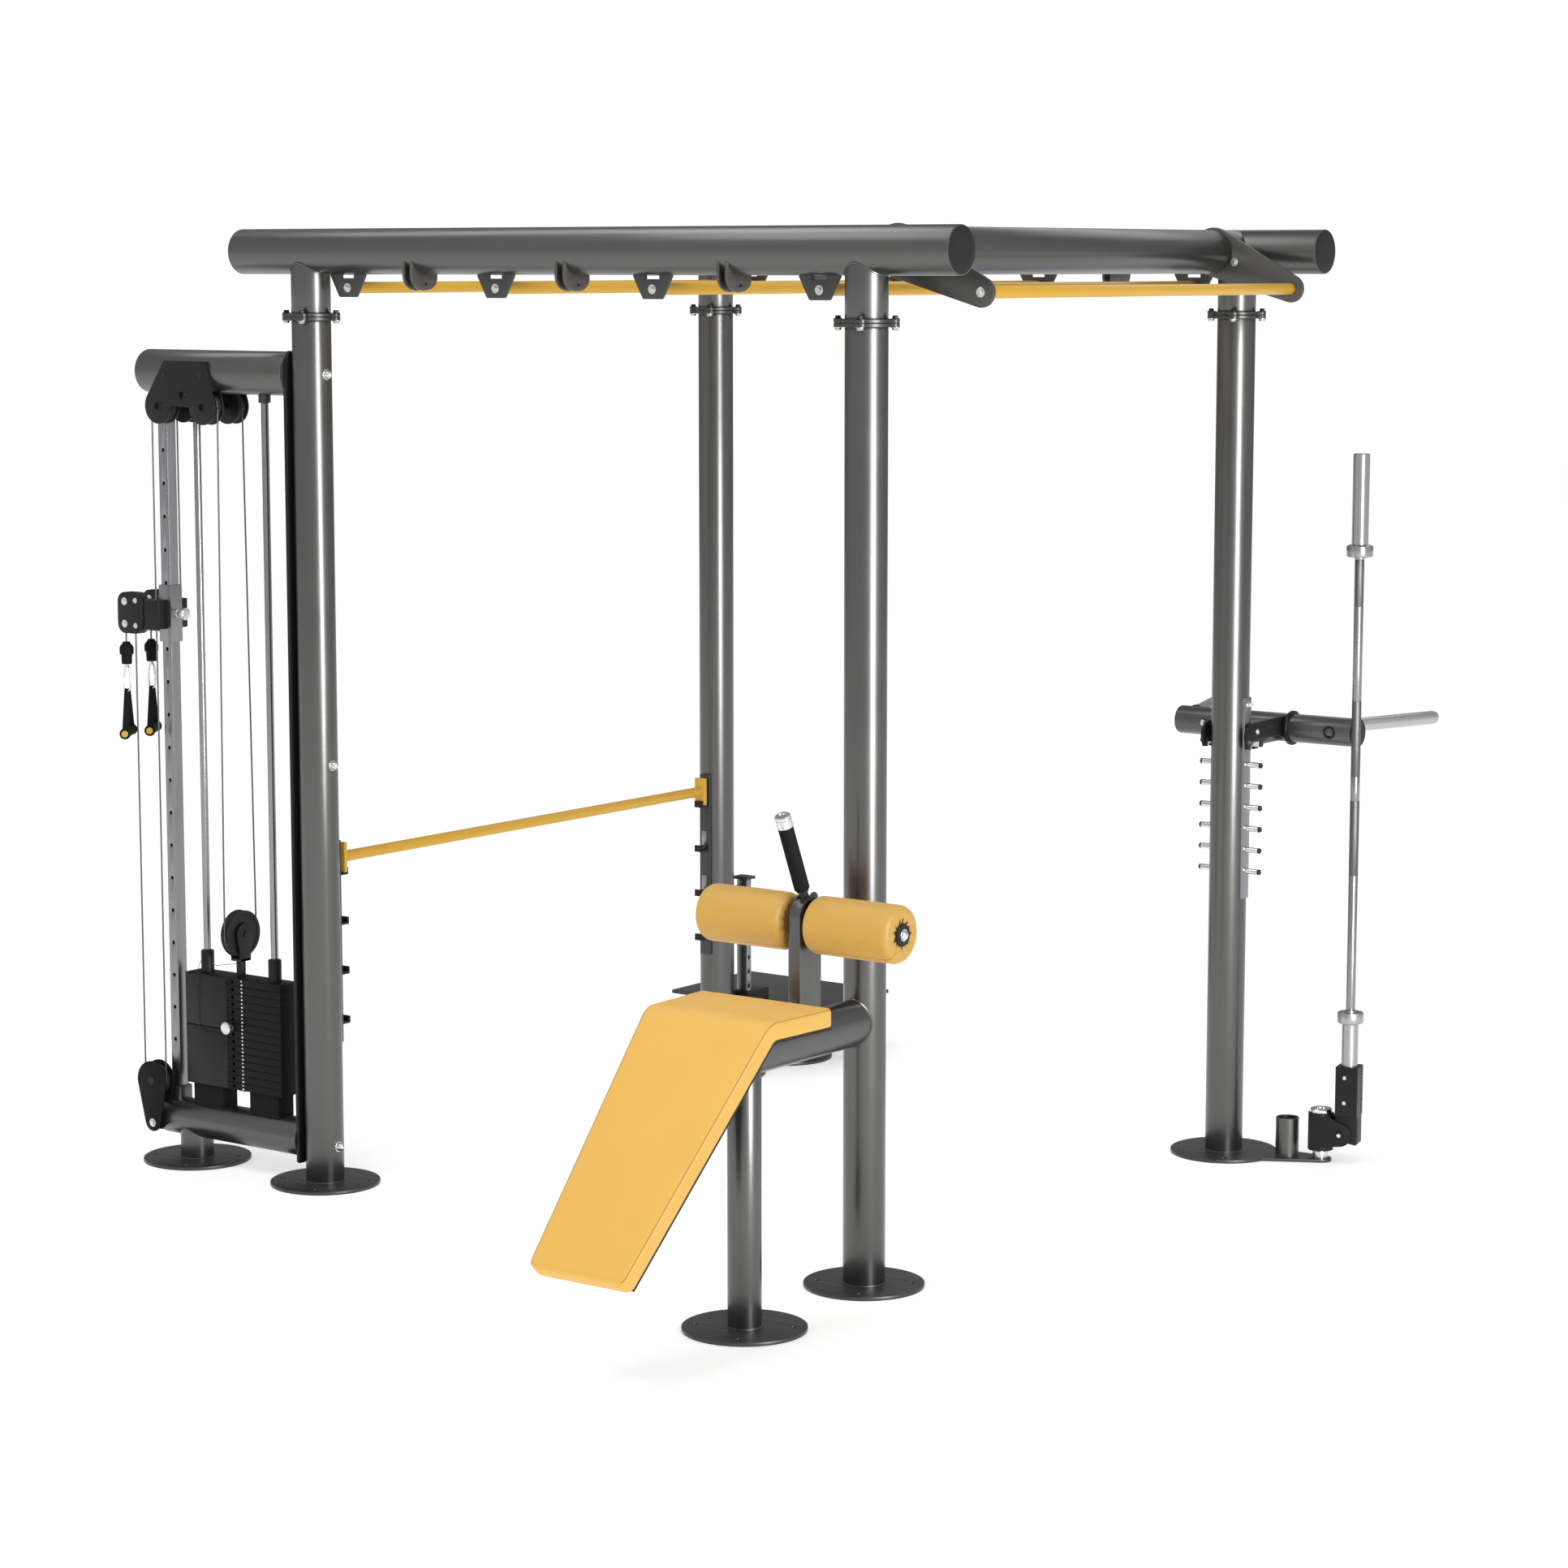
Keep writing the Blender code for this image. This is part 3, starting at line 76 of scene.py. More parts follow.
# ---- materials ----------------------------------------------------------------------------
def add_node(tree, kind, own=None, **inputs):
    """A shader node; own holds its settings, and inputs the values of its sockets."""
    made = tree.nodes.new("ShaderNode" + kind)
    for name, value in (own or {}).items():
        setattr(made, name, value)
    for name, value in inputs.items():
        made.inputs[name.replace("_", " ")].default_value = value
    return made


def join(tree, source, output, target, socket):
    tree.links.new(source.outputs[output], target.inputs[socket])


BLOTCH, ROUGH_SPREAD = 6.0, 0.05        # size of the slow colour drift, and how far roughness wanders


def new_material(name, colour, roughness, metallic=0.0, specular=0.5, spread=0.08, grain=900.0, bump=0.05,
                 depth=0.0004, sheen=0.0, stretch=(1, 1, 1)):
    """A Principled finish whose colour and roughness wander a little, with a fine bump over it."""
    made = bpy.data.materials.new(name)
    made.use_nodes = True
    tree = made.node_tree
    shader = tree.nodes["Principled BSDF"]
    for label, value in (("Metallic", metallic), ("Specular IOR Level", specular), ("Sheen Weight", sheen)):
        shader.inputs[label].default_value = value
    place = add_node(tree, "TexCoord")
    mapping = add_node(tree, "Mapping", Scale=stretch)
    broad = add_node(tree, "TexNoise", Scale=BLOTCH, Detail=5.0)
    fine = add_node(tree, "TexNoise", Scale=grain, Detail=2.0)
    rough = add_node(tree, "MapRange", To_Min=max(0.0, roughness - ROUGH_SPREAD), To_Max=roughness + ROUGH_SPREAD)
    relief = add_node(tree, "Bump", Strength=bump, Distance=depth)
    tint = add_node(tree, "Mix", {"data_type": "RGBA"})
    tint.inputs[6].default_value = (*[c * (1 - spread) for c in colour], 1.0)
    tint.inputs[7].default_value = (*[min(1.0, c * (1 + spread)) for c in colour], 1.0)
    join(tree, place, "Object", mapping, "Vector")
    join(tree, mapping, "Vector", broad, "Vector")
    join(tree, mapping, "Vector", fine, "Vector")
    join(tree, broad, "Fac", tint, "Factor")
    join(tree, broad, "Fac", rough, "Value")
    join(tree, fine, "Fac", relief, "Height")
    join(tree, tint, 2, shader, "Base Color")
    join(tree, rough, "Result", shader, "Roughness")
    join(tree, relief, "Normal", shader, "Normal")
    return made


def leather_grain(made):
    """Adds pebbled cells to a finish made above."""
    tree = made.node_tree
    relief, mapping, shader = (next(n for n in tree.nodes if n.type == kind)
                               for kind in ("BUMP", "MAPPING", "BSDF_PRINCIPLED"))
    cells = add_node(tree, "TexVoronoi", {"feature": "F1"}, Scale=420.0)
    pebbles = add_node(tree, "Bump", {"invert": True}, Strength=0.22, Distance=0.0006)
    join(tree, mapping, "Vector", cells, "Vector")
    join(tree, cells, "Distance", pebbles, "Height")
    join(tree, relief, "Normal", pebbles, "Normal")
    join(tree, pebbles, "Normal", shader, "Normal")
    return made


FINISH = {
    "frame": new_material("graphite_powder_coat", (0.120, 0.119, 0.117), 0.30, metallic=0.9, spread=0.05,
                          bump=0.015),
    "edge": new_material("graphite_plate", (0.068, 0.067, 0.066), 0.38, metallic=0.75),
    "black": new_material("black_paint", (0.0085, 0.0085, 0.0088), 0.42, specular=0.25, bump=0.12),
    "yellow": new_material("yellow_paint", (0.67, 0.38, 0.030), 0.34, specular=0.4, spread=0.03),
    "pad": leather_grain(new_material("pad_leather", (0.80, 0.465, 0.091), 0.55, specular=0.3,
                                      spread=0.03, bump=0.08, sheen=0.08)),
    # painted shade: the pad's leather made darker, standing in for the weaker light on the rollers' round sides
    "roller": leather_grain(new_material("roller_leather_painted_shade", (0.63, 0.37, 0.073), 0.5, specular=0.3,
                                         spread=0.03, bump=0.08, sheen=0.08)),
    "grip": new_material("grip_rubber", (0.008, 0.008, 0.008), 0.8, specular=0.15, bump=0.2),
    "seam": new_material("pad_seam", (0.42, 0.24, 0.04), 0.7, specular=0.2, grain=2500.0, bump=0.3),
    "chrome": new_material("polished_chrome", (0.70, 0.70, 0.71), 0.13, metallic=1.0, spread=0.02,
                           bump=0.01),
    "satin": new_material("brushed_steel", (0.275, 0.275, 0.285), 0.30, metallic=1.0, spread=0.05,
                          grain=1500.0, stretch=(1, 1, 0.04)),
    "handle": new_material("handle_steel", (0.50, 0.50, 0.51), 0.28, metallic=1.0, spread=0.04,
                           grain=1500.0),
    "rod": new_material("ground_rod", (0.28, 0.28, 0.285), 0.26, metallic=1.0, spread=0.03, bump=0.01),
    "sleeve": new_material("plated_sleeve", (0.40, 0.40, 0.41), 0.30, metallic=1.0, spread=0.03,
                           bump=0.01),
    "plate": new_material("graphite_bracket", (0.098, 0.096, 0.092), 0.38, metallic=0.75),
    "steel": new_material("sleeve_steel", (0.34, 0.34, 0.345), 0.22, metallic=1.0, spread=0.04, grain=1500.0,
                          bump=0.02, stretch=(1, 1, 0.04)),
    "knurl": new_material("knurled_steel", (0.125, 0.125, 0.13), 0.42, metallic=1.0, spread=0.05, grain=2200.0,
                          bump=0.5, depth=0.0006),
    "zinc": new_material("zinc_plated_bolt", (0.66, 0.66, 0.65), 0.24, metallic=1.0, spread=0.1),
    "rubber": new_material("black_rubber", (0.0062, 0.0062, 0.0062), 0.72, specular=0.14, bump=0.25),
    "iron": new_material("cast_iron_plate", (0.0046, 0.0046, 0.0048), 0.55, specular=0.15, grain=500.0,
                         bump=0.25),
    "plastic": new_material("black_plastic", (0.0065, 0.0065, 0.0065), 0.42, specular=0.28, grain=1400.0),
    "cable": new_material("coated_cable", (0.10, 0.10, 0.10), 0.35, metallic=0.7, grain=1200.0,
                          bump=0.3, stretch=(1, 1, 0.3)),
    "board": new_material("black_board", (0.012, 0.011, 0.010), 0.55, specular=0.3, grain=300.0,
                          bump=0.2, stretch=(6, 1, 1)),
    "white": new_material("white_print", (0.80, 0.80, 0.78), 0.5, spread=0.02),
    # painted shade: a near-black finish put into holes, recesses and pleat creases where only shade falls
    "dark": new_material("painted_shade_black", (0.004, 0.004, 0.004), 0.8, specular=0.1),
}


# ---- mesh tools ---------------------------------------------------------------------------
PLANES = {
    "X": Matrix(((0, 0, 1), (1, 0, 0), (0, 1, 0))),
    "Y": Matrix(((1, 0, 0), (0, 0, 1), (0, 1, 0))),
    "Z": Matrix(((1, 0, 0), (0, 1, 0), (0, 0, 1))),
}
Z_AXIS = Vector((0.0, 0.0, 1.0))


class Piece:
    """One visible piece, gathered from solids that each have their own finish."""

    def __init__(self, name):
        self.name = name
        self.shape = bmesh.new()
        self.finishes = []

    def add(self, solid, finish, move=None):
        """Takes in a closed solid with one finish, moved by a matrix if one is given."""
        if finish not in self.finishes:
            self.finishes.append(finish)
        if move is not None:
            bmesh.ops.transform(solid, matrix=move, verts=solid.verts)
        bmesh.ops.recalc_face_normals(solid, faces=solid.faces)
        for face in solid.faces:
            face.material_index = self.finishes.index(finish)
        passing = bpy.data.meshes.new("passing")
        solid.to_mesh(passing)
        solid.free()
        self.shape.from_mesh(passing)
        bpy.data.meshes.remove(passing)

    def done(self, body, slot, *replaced, blend=None, sharp=32):
        """Makes the object, which rides on body, or is left unparented where it was built when blend is given, and
        stands for the replaced nodes.
        """
        mesh = bpy.data.meshes.new(self.name)
        bmesh.ops.translate(self.shape, vec=ORIGIN, verts=self.shape.verts)
        self.shape.to_mesh(mesh)
        self.shape.free()
        for finish in self.finishes:
            mesh.materials.append(FINISH[finish])
        mesh.shade_smooth()
        mesh.set_sharp_from_angle(angle=math.radians(sharp))
        item = bpy.data.objects.new(self.name, mesh)
        bpy.context.scene.collection.objects.link(item)
        if blend is None:
            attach(item, body)
        else:
            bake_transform(item)
        if replaced:
            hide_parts(*replaced)
        return item


def lathe(centre, axis, profile, sides=48):
    """A solid of revolution; profile is (distance along axis, radius)."""
    shape = bmesh.new()
    rings = []
    for along, radius in profile:
        if radius < 1e-6:
            rings.append([shape.verts.new((0.0, 0.0, along))])
        else:
            rings.append([shape.verts.new((radius * math.cos(math.tau * i / sides),
                                           radius * math.sin(math.tau * i / sides), along))
                          for i in range(sides)])
    closed = profile[0] == profile[-1]
    if closed:
        for vertex in rings.pop():
            shape.verts.remove(vertex)
        rings.append(rings[0])
    for one, two in zip(rings, rings[1:]):
        for i in range(sides):
            j = (i + 1) % sides
            corners = [one[i % len(one)], one[j % len(one)], two[j % len(two)], two[i % len(two)]]
            kept = list(dict.fromkeys(corners))
            if len(kept) > 2:
                shape.faces.new(kept)
    turn = Z_AXIS.rotation_difference(Vector(axis)).to_matrix().to_4x4()
    bmesh.ops.transform(shape, matrix=Matrix.Translation(Vector(centre)) @ turn, verts=shape.verts)
    return shape


def bar(start, end, radius, sides=48, edge=0.0015):
    """A round bar whose two ends have a small rounded edge."""
    start, end = Vector(start), Vector(end)
    length = (end - start).length
    soft = edge * 0.3
    return lathe(start, end - start,
                 [(0, 0), (0, radius - edge), (soft, radius - soft), (edge, radius),
                  (length - edge, radius), (length - soft, radius - soft), (length, radius - edge),
                  (length, 0)], sides)


def block(low, high, edge=0.002, segments=2):
    """A box between two corners, with rounded edges."""
    shape = bmesh.new()
    bmesh.ops.create_cube(shape, size=1.0)
    bmesh.ops.scale(shape, vec=[b - a for a, b in zip(low, high)], verts=shape.verts)
    bmesh.ops.translate(shape, vec=[(a + b) / 2 for a, b in zip(low, high)], verts=shape.verts)
    bmesh.ops.bevel(shape, geom=shape.edges[:], offset=edge, segments=segments, affect="EDGES", profile=0.5)
    return shape


def polar(centre, radius, degrees):
    """The point at an angle round a centre, both in a plane."""
    angle = math.radians(degrees)
    return centre[0] + radius * math.cos(angle), centre[1] + radius * math.sin(angle)


def circle(centre, radius, steps=32):
    return [(centre[0] + radius * math.cos(math.tau * i / steps),
             centre[1] + radius * math.sin(math.tau * i / steps)) for i in range(steps)]


def wrap(points):
    """The convex outline around a set of 2D points, anticlockwise."""
    points = sorted(set((round(x, 6), round(y, 6)) for x, y in points))

    def half(ordered):
        chain = []
        for p in ordered:
            while len(chain) > 1:
                (ax, ay), (bx, by) = chain[-2], chain[-1]
                if (bx - ax) * (p[1] - ay) - (by - ay) * (p[0] - ax) > 1e-9:
                    break
                chain.pop()
            chain.append(p)
        return chain[:-1]

    return half(points) + half(points[::-1])


def plate(loops, normal, low, high, edge=0.001):
    """A flat plate: the first loop is its outline, the rest are holes; its rims are rounded."""
    curve = bpy.data.curves.new("outline", "CURVE")
    curve.dimensions = "2D"
    curve.fill_mode = "BOTH"
    curve.extrude = (high - low) / 2 - edge
    curve.bevel_depth = edge
    curve.bevel_resolution = 1
    curve.offset = -edge
    for loop in loops:
        spline = curve.splines.new("POLY")
        spline.points.add(len(loop) - 1)
        for point, (x, y) in zip(spline.points, loop):
            point.co = (x, y, 0.0, 1.0)
        spline.use_cyclic_u = True
    guide = bpy.data.objects.new("outline", curve)
    bpy.context.scene.collection.objects.link(guide)
    bpy.context.view_layer.update()
    mesh = bpy.data.meshes.new_from_object(guide.evaluated_get(bpy.context.evaluated_depsgraph_get()))
    bpy.data.objects.remove(guide, do_unlink=True)
    shape = bmesh.new()
    shape.from_mesh(mesh)
    bmesh.ops.remove_doubles(shape, verts=shape.verts, dist=0.000004)
    bmesh.ops.translate(shape, vec=(0, 0, (low + high) / 2), verts=shape.verts)
    bmesh.ops.transform(shape, matrix=PLANES[normal].to_4x4(), verts=shape.verts)
    return shape


def skin(shape, rings):
    """Faces between each ring of points and the next."""
    for one, two in zip(rings, rings[1:]):
        for k in range(len(one)):
            j = (k + 1) % len(one)
            shape.faces.new((one[k], one[j], two[j], two[k]))


def sweep(points, radius, sides=12, closed=False):
    """A round wire through a list of points."""
    points = [Vector(p) for p in points]
    count = len(points)
    shape = bmesh.new()
    rings, side = [], None
    for i, point in enumerate(points):
        before = points[i - 1] if closed or i else point
        after = points[(i + 1) % count] if closed or i < count - 1 else point
        ahead = (after - before).normalized()
        if side is None:
            side = ahead.orthogonal()
        side = (side - ahead * side.dot(ahead)).normalized()
        up = ahead.cross(side)
        rings.append([shape.verts.new(point + radius * (side * math.cos(math.tau * k / sides)
                                                        + up * math.sin(math.tau * k / sides)))
                      for k in range(sides)])
    skin(shape, rings + rings[:1] if closed else rings)
    if not closed:
        shape.faces.new(rings[0])
        shape.faces.new(rings[-1])
    return shape


def arc(centre, radius, start, end, steps, plane="XZ", across=0.0):
    """Points along an arc, in degrees, in an upright plane."""
    flat = [polar(centre, radius, start + (end - start) * i / steps) for i in range(steps + 1)]
    return [(u, across, w) if plane == "XZ" else (across, u, w) for u, w in flat]


WASHER = 0.0016


def hex_bolt(piece, base, axis, radius, height, finish="zinc"):
    """A hexagon head with a chamfered top, on its washer."""
    piece.add(lathe(base, axis, [(0, 0), (0, radius * 1.5), (WASHER * 0.7, radius * 1.5), (WASHER, radius * 1.42),
                                 (WASHER, 0)], 32), finish)
    piece.add(lathe(base, axis, [(WASHER, 0), (WASHER, radius), (WASHER + height * 0.8, radius),
                                 (WASHER + height, radius * 0.86), (WASHER + height, 0)], 6), finish)


def dome_bolt(piece, base, axis, radius, height, finish="zinc"):
    """A domed nut on a washer."""
    profile = [(0, 0), (0, radius * 1.25), (height * 0.14, radius * 1.25), (height * 0.16, radius)]
    profile += [(height * (0.3 + 0.7 * math.sin(math.radians(a))), radius * math.cos(math.radians(a)))
                for a in (0, 20, 40, 60, 78)]
    profile += [(height, 0)]
    piece.add(lathe(base, axis, profile, 32), finish)


# ---- driving dimensions -------------------------------------------------------------------
SPAN_X, SPAN_Y = 1.965, 1.94
POST_R, BEAM_R, BEAM_Z, JOINT_Z = 0.05715, 0.0655, 2.758, 2.5705
LEFT_END, RIGHT_END = 0.267, 0.295
DISC_R, DISC_T = 0.1635, 0.010
RUNG_R, RUNG_Z, RUNG_PITCH = 0.0165, 2.655, 0.556
ARM_Y, ARM_T = 0.1435, 0.012
OUTRIGGER_X, OUTRIGGER_Z = 0.263, 2.650
COLLAR_T = 0.0105
COLLAR_TURNS = (-68, 22, 112, 202)
BAR_Z, HOOK_Y, HOOK_PITCH = 0.975, 0.092, 0.15


def foot(piece, x, y):
    """A foot plate with four bolt holes."""
    holes = [circle(polar((x, y), 0.128, a), 0.0075, 16) for a in (30, 120, 210, 300)]
    piece.add(plate([circle((x, y), DISC_R, 96), *holes], "Z", 0.0, DISC_T, 0.0012), "edge")


def weld_ring(piece, x, y, z, radius, bead=0.0032):
    """The weld bead round an upright tube."""
    piece.add(sweep([(*at, z) for at in circle((x, y), radius, 64)], bead, 8, closed=True), "edge")


def collar(piece, x, y, low, high, bolts):
    """Half a clamp collar with its four ears; the lower half carries the nuts."""
    deep = high - low
    profile = [(0, POST_R - 0.002), (0, 0.0675), (0.0015, 0.069), (deep - 0.0015, 0.069), (deep, 0.0675),
               (deep, POST_R - 0.002), (0, POST_R - 0.002)]
    piece.add(lathe((x, y, low), Z_AXIS, profile, 64), "edge")
    tip = [(0.078 + 0.010 * math.cos(math.radians(a)), 0.0155 * math.sin(math.radians(a))) for a in (-60, -30, 0, 30,
                                                                                                     60)]
    outline = [(0.060, -0.0155), (0.078, -0.0155), *tip, (0.078, 0.0155), (0.060, 0.0155)]
    for turn in COLLAR_TURNS:
        spin = Matrix.Translation((x, y, 0)) @ Matrix.Rotation(math.radians(turn), 4, "Z")
        piece.add(plate([outline], "Z", low, high, 0.0012), "edge", spin)
    for turn in COLLAR_TURNS:
        at = polar((x, y), 0.0765, turn)
        if bolts == "head":
            hex_bolt(piece, (*at, high), (0, 0, 1), 0.0085, 0.0075, "plastic")
        else:
            hex_bolt(piece, (*at, low), (0, 0, -1), 0.0085, 0.0065, "zinc")


def post(piece, x, y):
    """An upright from its foot plate to the lower half of its clamp."""
    piece.add(bar((x, y, DISC_T - 0.002), (x, y, JOINT_Z), POST_R, 72), "frame")
    foot(piece, x, y)
    weld_ring(piece, x, y, DISC_T, POST_R)
    collar(piece, x, y, JOINT_Z - COLLAR_T, JOINT_Z, "nut")


def hook_rail(piece, y, side):
    """Silver rail and dark shelves on a left post's inner face."""
    x = -SPAN_X
    face = y + side * POST_R
    low_y, high_y = sorted((face - side * 0.006, face + side * 0.012))
    piece.add(block((x - 0.020, low_y, 0.42), (x + 0.020, high_y, 1.03), 0.002), "edge")
    for i in range(4):
        z = BAR_Z - 0.045 - i * HOOK_PITCH
        shelf = sorted((face, y + side * (HOOK_Y + 0.012)))
        lip = sorted((y + side * (HOOK_Y + 0.004), y + side * (HOOK_Y + 0.012)))
        piece.add(block((x - 0.016, shelf[0], z - 0.008), (x + 0.016, shelf[1], z), 0.0012), "plastic")
        piece.add(block((x - 0.016, lip[0], z - 0.004), (x + 0.016, lip[1], z + 0.014), 0.0012), "plastic")
        if i:
            strap = sorted((face + side * 0.0115, face + side * 0.0150))
            piece.add(block((x - 0.010, strap[0], z + 0.012), (x + 0.010, strap[1], z + 0.060), 0.001), "satin")


def posts():
    """The four posts, with the pegs, hooks and bolts that each one carries."""
    left = Piece("front_left_post")
    post(left, -SPAN_X, 0.0)
    hook_rail(left, 0.0, 1)
    for z in (0.118, 1.262, 2.405):
        dome_bolt(left, (-SPAN_X + POST_R - 0.003, 0, z), (1, 0, 0), 0.0125, 0.021)
    left.done("rig", "frame", "post_front_left")
    right = Piece("front_right_post")
    post(right, 0.0, 0.0)
    right.done("rig", "frame", "post_front_right")
    rear_left = Piece("rear_left_post")
    post(rear_left, -SPAN_X, SPAN_Y)
    hook_rail(rear_left, SPAN_Y, -1)
    link = wrap(circle((-SPAN_X + 0.02, SPAN_Y + 0.1), 0.05) + circle((-SPAN_X + 0.02, SPAN_Y + 0.36), 0.05))
    rear_left.add(plate([link], "Z", 0.0, DISC_T, 0.0012), "edge")
    foot(rear_left, -SPAN_X + 0.02, SPAN_Y + 0.36)
    rear_left.done("rig", "frame", "post_rear_left")
    step_rail()
    rear_right = Piece("rear_right_post")
    post(rear_right, 0.0, SPAN_Y)
    rear_right.add(block((POST_R - 0.010, SPAN_Y - 0.019, 0.800), (POST_R + 0.005, SPAN_Y + 0.019, 1.418), 0.0015),
                   "satin")
    for i in range(7):
        z = 1.278 - i * 0.0655
        rear_right.add(bar((-0.093, SPAN_Y, z), (0.105, SPAN_Y, z), 0.0085, 32, 0.0008), "zinc")
        for end, out in ((-0.093, -1), (0.105, 1)):
            rear_right.add(lathe((end, SPAN_Y, z), (out, 0, 0),
                                 [(0, 0), (0, 0.0083), (0.005, 0.0083), (0.007, 0.0068),
                                                                (0.007, 0)], 32), "plastic")
    dome_bolt(rear_right, (POST_R + 0.0045, SPAN_Y, 1.395), (1, 0, 0), 0.0085, 0.014)
    rear_right.done("rig", "frame", "post_rear_right")


RAIL_X, RAIL_Y = -SPAN_X + 0.035, SPAN_Y + 0.105


def step_rail():
    """The holed rail behind the rear left post."""
    x = RAIL_X
    piece = Piece("holed_rail")
    holes = [circle((RAIL_Y, 0.240 + 0.05 * i), 0.0065, 16) for i in range(8)]
    outline = [(RAIL_Y - 0.013, 0.130), (RAIL_Y + 0.013, 0.130), (RAIL_Y + 0.013, 0.660), (RAIL_Y - 0.013, 0.660)]
    piece.add(plate([outline, *holes], "X", x - 0.021, x + 0.021, 0.0015), "satin")
    for z in (0.148, 0.625):
        piece.add(block((x - 0.018, SPAN_Y + 0.046, z - 0.012), (x + 0.018, RAIL_Y, z + 0.012), 0.0015), "edge")
    piece.add(block((x - 0.030, RAIL_Y - 0.022, 0.658), (x + 0.030, RAIL_Y + 0.026, 0.668), 0.0015), "edge")
    piece.done("rig", "frame", "step_rail")


def end_cap(piece, at, out, radius):
    """A black plug pushed into a tube's open end, behind a thin bright rim."""
    piece.add(lathe(at, out, [(-0.004, 0), (-0.004, radius - 0.0035), (0.0002, radius - 0.0035),
                              (0.0012, radius - 0.007), (0.0016, radius * 0.5), (0.0018, 0)], 72), "plastic")


def top_beam(label, y, side):
    """A cross beam with its stubs, rung brackets and hook plates; side points away from the rig."""
    piece = Piece(f"{label}_beam")
    left, right = -SPAN_X - LEFT_END, RIGHT_END
    piece.add(bar((left, y, BEAM_Z), (right, y, BEAM_Z), BEAM_R, 96, 0.002), "frame")
    end_cap(piece, (left, y, BEAM_Z), (-1, 0, 0), BEAM_R)
    end_cap(piece, (right, y, BEAM_Z), (1, 0, 0), BEAM_R)
    for x in (0.0, -SPAN_X):
        piece.add(bar((x, y, JOINT_Z + 0.0003), (x, y, BEAM_Z), POST_R, 72), "frame")
        collar(piece, x, y, JOINT_Z + 0.0003, JOINT_Z + COLLAR_T, "head")
        weld = [(a, b, BEAM_Z - math.sqrt(BEAM_R ** 2 - (b - y) ** 2)) for a, b in circle((x, y), POST_R, 72)]
        piece.add(sweep(weld, 0.003, 8, closed=True), "frame")
        end = y - side * (ARM_Y - ARM_T / 2 - 0.0003)
        piece.add(bar((x, y, BEAM_Z), (x, end, BEAM_Z), BEAM_R - 0.0012, 96), "frame")
    for i in range(4):
        x = -SPAN_X / 2 + (i - 1.5) * RUNG_PITCH
        outline = [(x - 0.066, BEAM_Z - 0.045), (x - 0.066, BEAM_Z - 0.069), (x - 0.034, RUNG_Z - 0.0245),
                   (x - 0.030, RUNG_Z - 0.027), (x + 0.030, RUNG_Z - 0.027), (x + 0.034, RUNG_Z - 0.0245),
                   (x + 0.066, BEAM_Z - 0.069), (x + 0.066, BEAM_Z - 0.045)]
        slot_hole = [(x - 0.024, BEAM_Z - 0.076), (x + 0.024, BEAM_Z - 0.076), (x + 0.024, BEAM_Z - 0.0665),
                     (x - 0.024, BEAM_Z - 0.0665)]
        piece.add(plate([outline, slot_hole], "Y", y - 0.005, y + 0.005, 0.0009), "edge")
        hex_bolt(piece, (x, y + side * 0.005, RUNG_Z), (0, side, 0), 0.0088, 0.0075)
    for i in range(3):
        x = -SPAN_X / 2 + (i - 1) * RUNG_PITCH
        profile = [(-0.0575, 2.742), (-0.044, 2.742), (0.030, 2.706), (0.046, 2.700), (0.0495, 2.690),
                   (0.0495, 2.680),
                   (0.046, 2.669), (0.038, 2.660), (0.024, 2.652), (0.008, 2.649), (-0.012, 2.648), (-0.030, 2.651),
                   (-0.045, 2.659), (-0.056, 2.671), (-0.061, 2.685), (-0.0615, 2.700), (-0.0605, 2.725)]
        points = [(y - side * a, b) for a, b in profile]
        hole = circle((y, 2.667), 0.005, 16)
        for shift in (-0.014, 0.014):
            piece.add(plate([points, hole], "X", x + shift - 0.0035, x + shift + 0.0035, 0.0009), "plate")
    piece.done("rig", "frame", f"top_beam_{label}")


def overhead():
    """The beams, the arms, the rungs and the pull-up bar."""
    top_beam("front", 0.0, -1)
    top_beam("rear", SPAN_Y, 1)
    clear = ARM_Y + ARM_T / 2 + 0.0003
    for label, x in (("right", 0.0), ("left", -SPAN_X)):
        piece = Piece(f"{label}_side_beam")
        piece.add(bar((x, clear, BEAM_Z), (x, SPAN_Y - clear, BEAM_Z), BEAM_R - 0.0012, 96), "frame")
        piece.done("rig", "frame", f"side_beam_{label}")
    for label, y, out in (("front", ARM_Y, -1), ("rear", SPAN_Y - ARM_Y, 1)):
        piece = Piece(f"{label}_arm")
        outline = wrap(circle((0.0, BEAM_Z), 0.0715, 64) + circle((OUTRIGGER_X, OUTRIGGER_Z), 0.040, 48))
        piece.add(plate([outline], "Y", y - ARM_T / 2, y + ARM_T / 2, 0.0015), "plate")
        for face in (-1, 1):
            if face == out:
                hex_bolt(piece, (OUTRIGGER_X, y + face * ARM_T / 2, OUTRIGGER_Z), (0, face, 0), 0.0088, 0.0075)
            hex_bolt(piece, (0.0735, y + face * ARM_T / 2, BEAM_Z - 0.030), (0, face, 0), 0.0080, 0.0070)
        piece.done("rig", "frame", f"outrigger_arm_{label}")
    for i in range(4):
        x = -SPAN_X / 2 + (i - 1.5) * RUNG_PITCH
        piece = Piece(f"monkey_rung_{i + 1}")
        piece.add(bar((x, 0.0053, RUNG_Z), (x, SPAN_Y - 0.0053, RUNG_Z), RUNG_R, 40), "yellow")
        piece.done("rig", "yellow_metal", f"rung_{i + 1}")
    inner = ARM_Y + ARM_T / 2 + 0.0003
    piece = Piece("pull_up_bar")
    piece.add(bar((OUTRIGGER_X, inner, OUTRIGGER_Z), (OUTRIGGER_X, SPAN_Y - inner, OUTRIGGER_Z), RUNG_R, 40),
              "yellow")
    piece.done("rig", "yellow_metal", "outrigger_bar")


